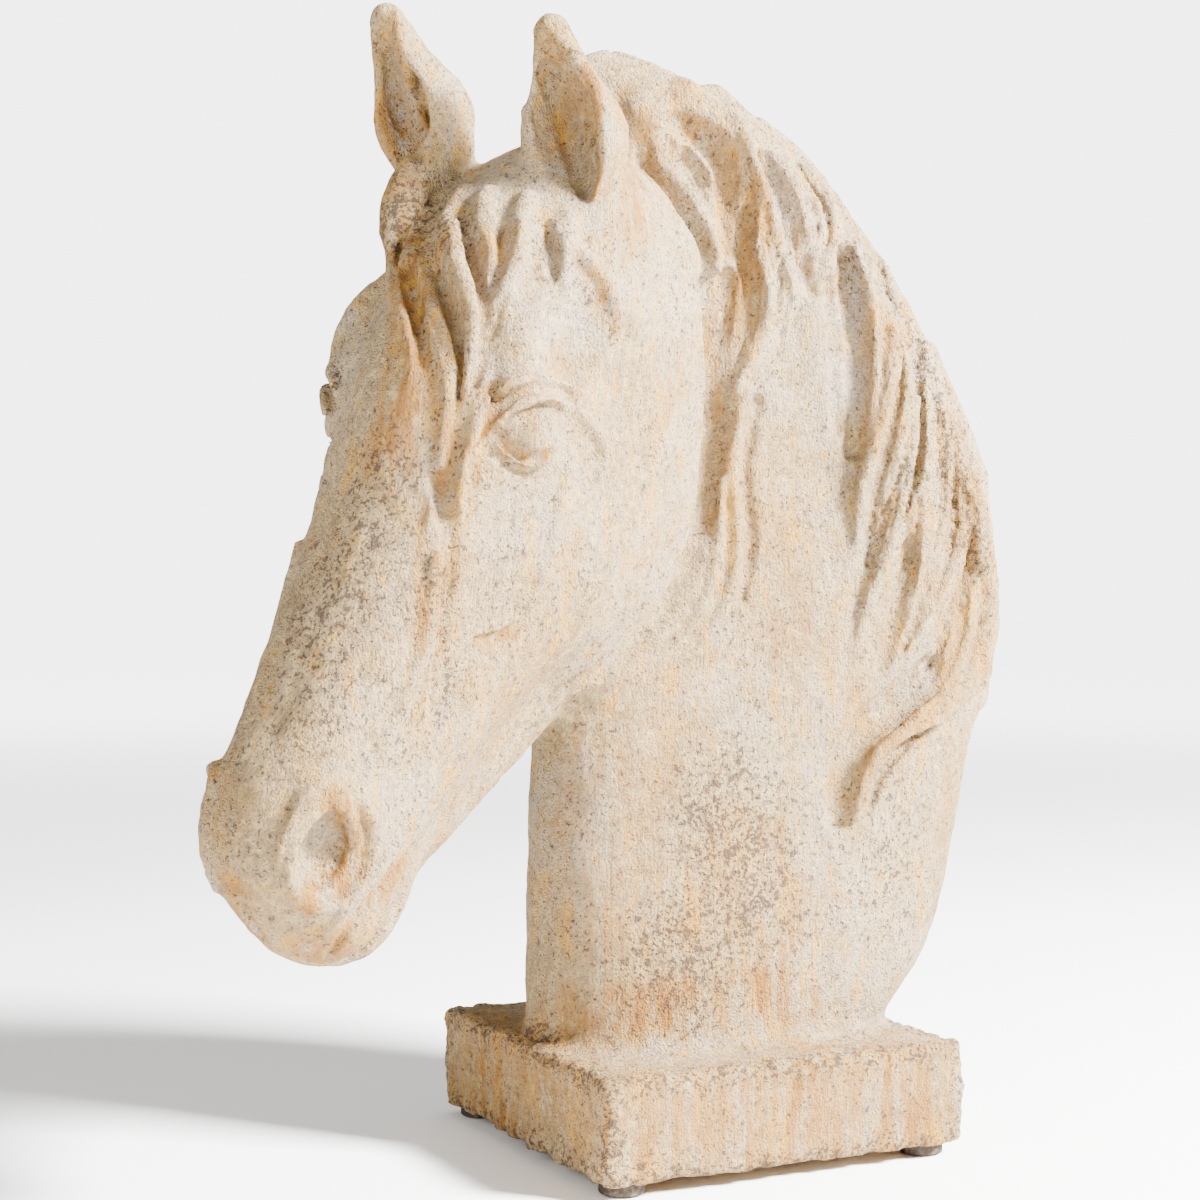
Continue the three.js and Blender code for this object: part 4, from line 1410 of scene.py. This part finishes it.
    def pits(self, s: Shader) -> bpy.types.NodeSocket:
        """Where the pits and pinholes are, crowded at worn places and the plinth's edges.

        Args:
            s: the material's shader.

        Returns:
            1 in a pit and 0 outside.
        """
        worn = s.node(
            "Math",
            operation="MAXIMUM",
            use_clamp=True,
            in_0=s.cover(Tint.PITTED.value),
            in_1=s.cover("edge"),
        )
        crowd = s.node(
            "Math",
            operation="ADD",
            use_clamp=True,
            in_0=s.cover((s.lumps(self.pit_crowd_mm), 0.48, 0.66), 0.03),
            in_1=s.cover(worn, 0.08),
        )
        holes = []
        wide = s.lumps(self.pit_mm, 4, 0.66)
        narrow = s.lumps(self.pinhole_mm, 2, 0.6)
        for lumps, level, edge in ((wide, 0.655, 0.02), (narrow, 0.632, 0.04)):
            level = s.node("Math", operation="SUBTRACT", use_clamp=True, in_0=level, in_1=crowd)
            over = s.node("Math", operation="SUBTRACT", use_clamp=True, in_0=lumps, in_1=level)
            holes.append(s.cover((over, 0.0, edge)))
        return s.node("Math", operation="MAXIMUM", use_clamp=True, in_0=holes[0], in_1=holes[1])


@dataclass(frozen=True)
class PadRubber:
    """Soft rubber pads, dark brown and dusty at the edges."""

    body: str = "33291F"
    dust: str = "8A7B69"
    dust_mm: float = 2.5
    grain_mm: float = 0.5
    relief_mm: float = 0.12

    def material(self) -> bpy.types.Material:
        """Builds the material."""
        s = Shader("pad_rubber")
        fine = s.lumps(self.grain_mm)
        colour = s.layer(self.body, self.dust, (s.lumps(self.dust_mm, 4), 0.45, 0.75), 0.35)
        roughness = s.node("Math", operation="ADD", use_clamp=True, in_0=0.6, in_1=s.cover(fine, 0.25))
        return s.finish(colour, roughness, fine, self.relief_mm)


class Cast:
    """The cast piece: carves it over its solid, then stains and dresses it.

    Args:
        carved: the cast's field of distances.
        camera: the camera whose pixels place the stains.
        origin: the plinth's middle in the row's frame, in metres.
    """

    NODE = "horse_head_cast"
    CELL = 1.2
    TRIANGLES = 192000
    COMB_PITCH = 4.6
    COMB_DEPTH = 0.5
    EDGE_REACH = 9
    STAIN_GIRTH = 0.01
    NEAR_LOOK = 2
    WIDE_LOOK = 7

    def __init__(self, carved_cast: CarvedCast, camera: PhotoCamera, origin: Vector) -> None:
        self.carved = carved_cast
        self.camera = camera
        self.origin = np.array(origin)
        self.piece = self.meshed()

    def meshed(self) -> bpy.types.Object:
        """The field's surface as a piece.

        Returns:
            The piece, before its fine relief.
        """
        low, high = (np.array(corner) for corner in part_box(self.NODE))
        low, high = ((corner - self.origin) / MM for corner in (low, high))
        points, faces = meshed(self.carved, low - 4, high + 4, self.CELL)
        mesh = bpy.data.meshes.new("cast_cement_horse_head")
        mesh.from_pydata(points * MM + self.origin, [], faces[:, ::-1])
        piece = bpy.data.objects.new("cast_cement_horse_head", mesh)
        bpy.context.scene.collection.objects.link(piece)
        return piece

    def modify(self, kind: str, **settings: object) -> None:
        """Adds a modifier and applies it.

        Args:
            kind: the modifier's type.
            settings: its settings.
        """
        modifier = self.piece.modifiers.new(kind.lower(), kind)
        for key, value in settings.items():
            setattr(modifier, key, value)
        bpy.context.view_layer.objects.active = self.piece
        bpy.ops.object.modifier_apply(modifier=modifier.name)

    def points(self) -> Points:
        """The piece's points, in mm.

        Returns:
            The points, in the plinth's frame.
        """
        flat = np.empty(len(self.piece.data.vertices) * 3)
        self.piece.data.vertices.foreach_get("co", flat)
        return (flat.reshape(-1, 3) - self.origin) / MM

    def normals(self) -> Points:
        """The piece's outward directions.

        Returns:
            A direction for each point.
        """
        flat = np.empty(len(self.piece.data.vertices) * 3)
        self.piece.data.vertices.foreach_get("normal", flat)
        return flat.reshape(-1, 3)

    def put(self, points: Points) -> None:
        """Moves the piece's points, kept inside the solid's box.

        Args:
            points: where to, in mm in the plinth's frame.
        """
        low, high = (np.array(corner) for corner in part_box(self.NODE))
        points = np.clip(points * MM + self.origin, low, high)
        self.piece.data.vertices.foreach_set("co", points.ravel())
        self.piece.data.update()

    def combed(self, points: Points, normals: Points) -> np.ndarray:
        """How far the combed hair lifts the surface.

        Args:
            points: the piece's points.
            normals: their outward directions.

        Returns:
            The lift of each point, in mm.
        """
        lift = np.zeros(len(points))
        for number, strand in enumerate(self.carved.mane.strands):
            near = np.linalg.norm(points - strand.middle, axis=1) < strand.reach + strand.room
            if not near.any():
                continue
            p, n = points[near], normals[near]
            far, along, step = strand.nearest(p)
            way = strand.curve[step + 1] - strand.curve[step]
            way /= np.linalg.norm(way, axis=1, keepdims=True)
            across = (np.cross(way, n) * (p - strand.curve[step])).sum(1)
            fade = np.clip(1 - np.abs(far) / (1.6 * strand.girth.max()), 0, 1)
            fade *= np.sin(np.pi * np.clip(along, 0.02, 0.98))
            wave = np.cos(2 * np.pi * across / self.COMB_PITCH + number + 2 * np.sin(3 * along))
            lift[near] += self.COMB_DEPTH * fade * wave
        return lift

    def by_edge(self, points: Points) -> np.ndarray:
        """How near the surface is to the plinth's edges.

        Args:
            points: the piece's points.

        Returns:
            1 at an edge, falling to 0 at EDGE_REACH from it.
        """
        form = self.carved.form
        half = np.array([form.plinth_side, form.plinth_side, form.plinth_height]) / 2
        inset = half - np.abs(points - [0, 0, form.pad_height + form.plinth_height / 2])
        second = np.sort(inset, axis=1)[:, 1]
        return np.clip(1 - second / self.EDGE_REACH, 0, 1) * (points[:, 2] < form.plinth_top + 1)

    def edge_chips(self, points: Points) -> np.ndarray:
        """How deep the plinth's worn edges are chipped.

        Args:
            points: the piece's points.

        Returns:
            The depth at each point, in mm.
        """
        near = self.by_edge(points)
        chips = np.zeros(len(points))
        rows = near > 0
        chips[rows] = np.maximum(fractal(points[rows], 11, 3, 4) + 0.25, 0) * 2.6 * near[rows]
        return chips

    def build(self) -> None:
        """Carves the piece."""
        points, normals = self.points(), self.normals()
        lift = self.combed(points, normals)
        # Hand-modelled lumps, coarse and fine, then brush marks that run down
        lift += 0.55 * fractal(points, 19, 1, 3) + 0.25 * fractal(points, 5.5, 4, 2)
        lift += 0.2 * fractal(points * [1, 1, 0.3], 4.5, 5, 2)
        low = points[:, 2] < self.carved.form.plinth_top + 4
        lift[low] += 0.45 * fractal(points[low], 5, 2, 3)
        lift -= self.edge_chips(points)
        self.put(points + normals * lift[:, None])
        count = 2 * len(self.piece.data.polygons)
        self.modify("DECIMATE", ratio=min(1, self.TRIANGLES / count))
        log.info("cast: %d triangles carved, %d kept", count, len(self.piece.data.polygons))

    def write(self, name: str, values: np.ndarray) -> None:
        """Stores a value for each point, for the material to read.

        Args:
            name: the attribute's name.
            values: a value for each point, kept between 0 and 1.
        """
        layer = self.piece.data.attributes.new(name, "FLOAT", "POINT")
        layer.data.foreach_set("value", np.clip(values, 0, 1).astype(np.float32))

    def stained(self, points: Points, tint: Tint) -> np.ndarray:
        """How much of a tint each point has.

        Args:
            points: the piece's points.
            tint: the tint.

        Returns:
            Its share at each point.
        """
        total = np.zeros(len(points))
        if tint is Tint.BARE:
            total = 0.25 + 1.3 * np.maximum(fractal(points, 60, 6, 2), 0)
        elif tint is Tint.RUST:
            total = 0.9 * np.maximum(fractal(points, 42, 8, 3) - 0.05, 0)
        stains = [stain for stain in STAINS if stain.tint is tint]
        for stain, path in zip(stains, self.camera.traced(self.carved, [stain.path for stain in stains])):
            if len(path) < 2:
                log.info("stain on the %s: not in sight", stain.name)
                continue
            line = Strand(path, self.STAIN_GIRTH)
            line.room = 2.5 * stain.reach
            far = line(points) / stain.reach
            total = np.maximum(total, stain.strength * np.clip(1.5 - far, 0, 1))
        if tint is Tint.RUST:
            low = points[:, 2] < self.carved.form.plinth_top - 1
            total = np.maximum(total, (0.4 + 0.8 * fractal(points * [1, 1, 0.4], 26, 9, 3)) * low)
        return total

    def dress(self) -> None:
        """Stains the piece and gives it its material."""
        points, normals = self.points(), self.normals()
        # A hollow's walls are nearer to a place off its surface than the surface is
        near = 1 - self.carved(points + self.NEAR_LOOK * normals) / self.NEAR_LOOK
        wide = 1 - self.carved(points + self.WIDE_LOOK * normals) / self.WIDE_LOOK
        comb = self.combed(points, normals) / self.COMB_DEPTH
        self.write("edge", 1.5 * self.by_edge(points))
        # The cavity paints shade into the hollows, with some dirt, and guides the rust where water stood
        self.write("cavity", 2.0 * near + 1.0 * wide - 0.25 * comb - 0.1)
        self.write("proud", 0.4 * comb - 2 * near)
        for tint in Tint:
            self.write(tint.value, self.stained(points, tint))
        self.piece.data.materials.clear()
        self.piece.data.materials.append(CastCement().material())
        for face in self.piece.data.polygons:
            face.use_smooth = True
        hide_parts(self.NODE)
        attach(self.piece, "root")


class Pads:
    """The four pads, which keep their solids."""

    NAMES = ("pad_front_left", "pad_front_right", "pad_back_left", "pad_back_right")

    def middle(self) -> Vector:
        """The middle between the pads, on the floor.

        Returns:
            The place, in metres.
        """
        corners = [Vector(corner) for name in self.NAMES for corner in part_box(name)]
        total = sum(corners, Vector()) / len(corners)
        return Vector((total.x, total.y, 0))

    def dress(self) -> None:
        """Gives the pads their rubber."""
        rubber = PadRubber().material()
        for name in self.NAMES:
            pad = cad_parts[name]
            pad.data.materials.clear()
            pad.data.materials.append(rubber)
        log.info("pads: %d dressed", len(self.NAMES))


@dataclass(frozen=True)
class Lamp:
    """A soft lamp, by where it stands from its target as the camera sees it.

    Args:
        name: its name.
        right: how far to the right, in metres.
        back: how far towards the camera.
        up: how far up.
        size: how wide it is.
        power: its power, in watts.
    """

    name: str
    right: float
    back: float
    up: float
    size: float
    power: float

    def build(self, camera: PhotoCamera, target: Vector) -> None:
        """Adds the lamp, looking at its target.

        Args:
            camera: the camera that it stands beside.
            target: where it looks.
        """
        data = bpy.data.lights.new(self.name, "AREA")
        data.size = self.size
        data.energy = self.power
        lamp = bpy.data.objects.new(self.name, data)
        away = Vector(camera.right) * self.right + Vector(camera.back) * self.back
        lamp.location = target + away + Vector((0, 0, self.up))
        lamp.rotation_euler = (target - lamp.location).to_track_quat("-Z", "Y").to_euler()
        bpy.context.scene.collection.objects.link(lamp)


@dataclass(frozen=True)
class Studio:
    """A plain pale floor that glows into the backdrop far off, and soft light."""

    floor_size: float = 60.0
    floor_colour: str = "FBFAF8"
    floor_light: str = "FFFFFF"
    ambient: float = 0.36
    backdrop: float = 5.0
    glow_start: float = 0.7
    glow_full: float = 3.6
    target_height: float = 0.2
    lamps: tuple[Lamp, ...] = (
        Lamp("key", right=1.3, back=0.5, up=0.95, size=0.4, power=420),
        Lamp("fill", right=-1.0, back=1.1, up=0.5, size=1.0, power=20),
        Lamp("top", right=0.0, back=-0.4, up=1.3, size=1.2, power=8),
    )

    def build(self, camera: PhotoCamera, origin: Vector) -> None:
        """Makes the floor and the lights.

        Args:
            camera: the camera that the lights stand around.
            origin: the plinth's middle in the row's frame, in metres.
        """
        bpy.ops.mesh.primitive_plane_add(size=self.floor_size, location=(0, 0, -0.0005))
        floor = bpy.context.active_object
        floor.name = "studio_floor"
        s = Shader("studio_paper")
        shade = s.layer(self.floor_colour, self.floor_light, s.lumps(300, 2), 0.2)
        away = s.node("VectorMath", "Value", operation="LENGTH", in_0=s.node("TexCoord", "Object"))
        glow = s.node(
            "MapRange",
            interpolation_type="SMOOTHSTEP",
            in_Value=away,
            in_From_Min=self.glow_start,
            in_From_Max=self.glow_full,
            in_To_Max=self.backdrop - self.ambient,
        )
        s.feed(s.surface.inputs["Emission Strength"], glow)
        floor.data.materials.append(s.finish(shade, 0.9, s.lumps(2, 2), 0.05))
        for lamp in self.lamps:
            lamp.build(camera, origin + Vector((0, 0, self.target_height)))
        world = bpy.data.worlds.new("studio")
        world.use_nodes = True
        tree = world.node_tree
        seen = tree.nodes.new("ShaderNodeLightPath").outputs["Is Camera Ray"]
        strength = tree.nodes.new("ShaderNodeMapRange")
        strength.inputs["To Min"].default_value = self.ambient
        strength.inputs["To Max"].default_value = self.backdrop
        tree.links.new(seen, strength.inputs["Value"])
        tree.links.new(strength.outputs[0], tree.nodes["Background"].inputs["Strength"])
        tree.nodes["Background"].inputs["Color"].default_value = (1, 1, 1, 1)
        bpy.context.scene.world = world


def main() -> None:
    """Builds the pieces in order, then the studio."""
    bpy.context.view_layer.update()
    pads = Pads()
    origin = pads.middle()
    camera = PhotoCamera()
    camera.build(origin)
    cast = Cast(CarvedCast(CastForm(), camera), camera, origin)
    cast.build()
    cast.dress()
    pads.dress()
    Studio().build(camera, origin)


if __name__ == "__main__":
    logging.basicConfig(level=logging.INFO)
    main()
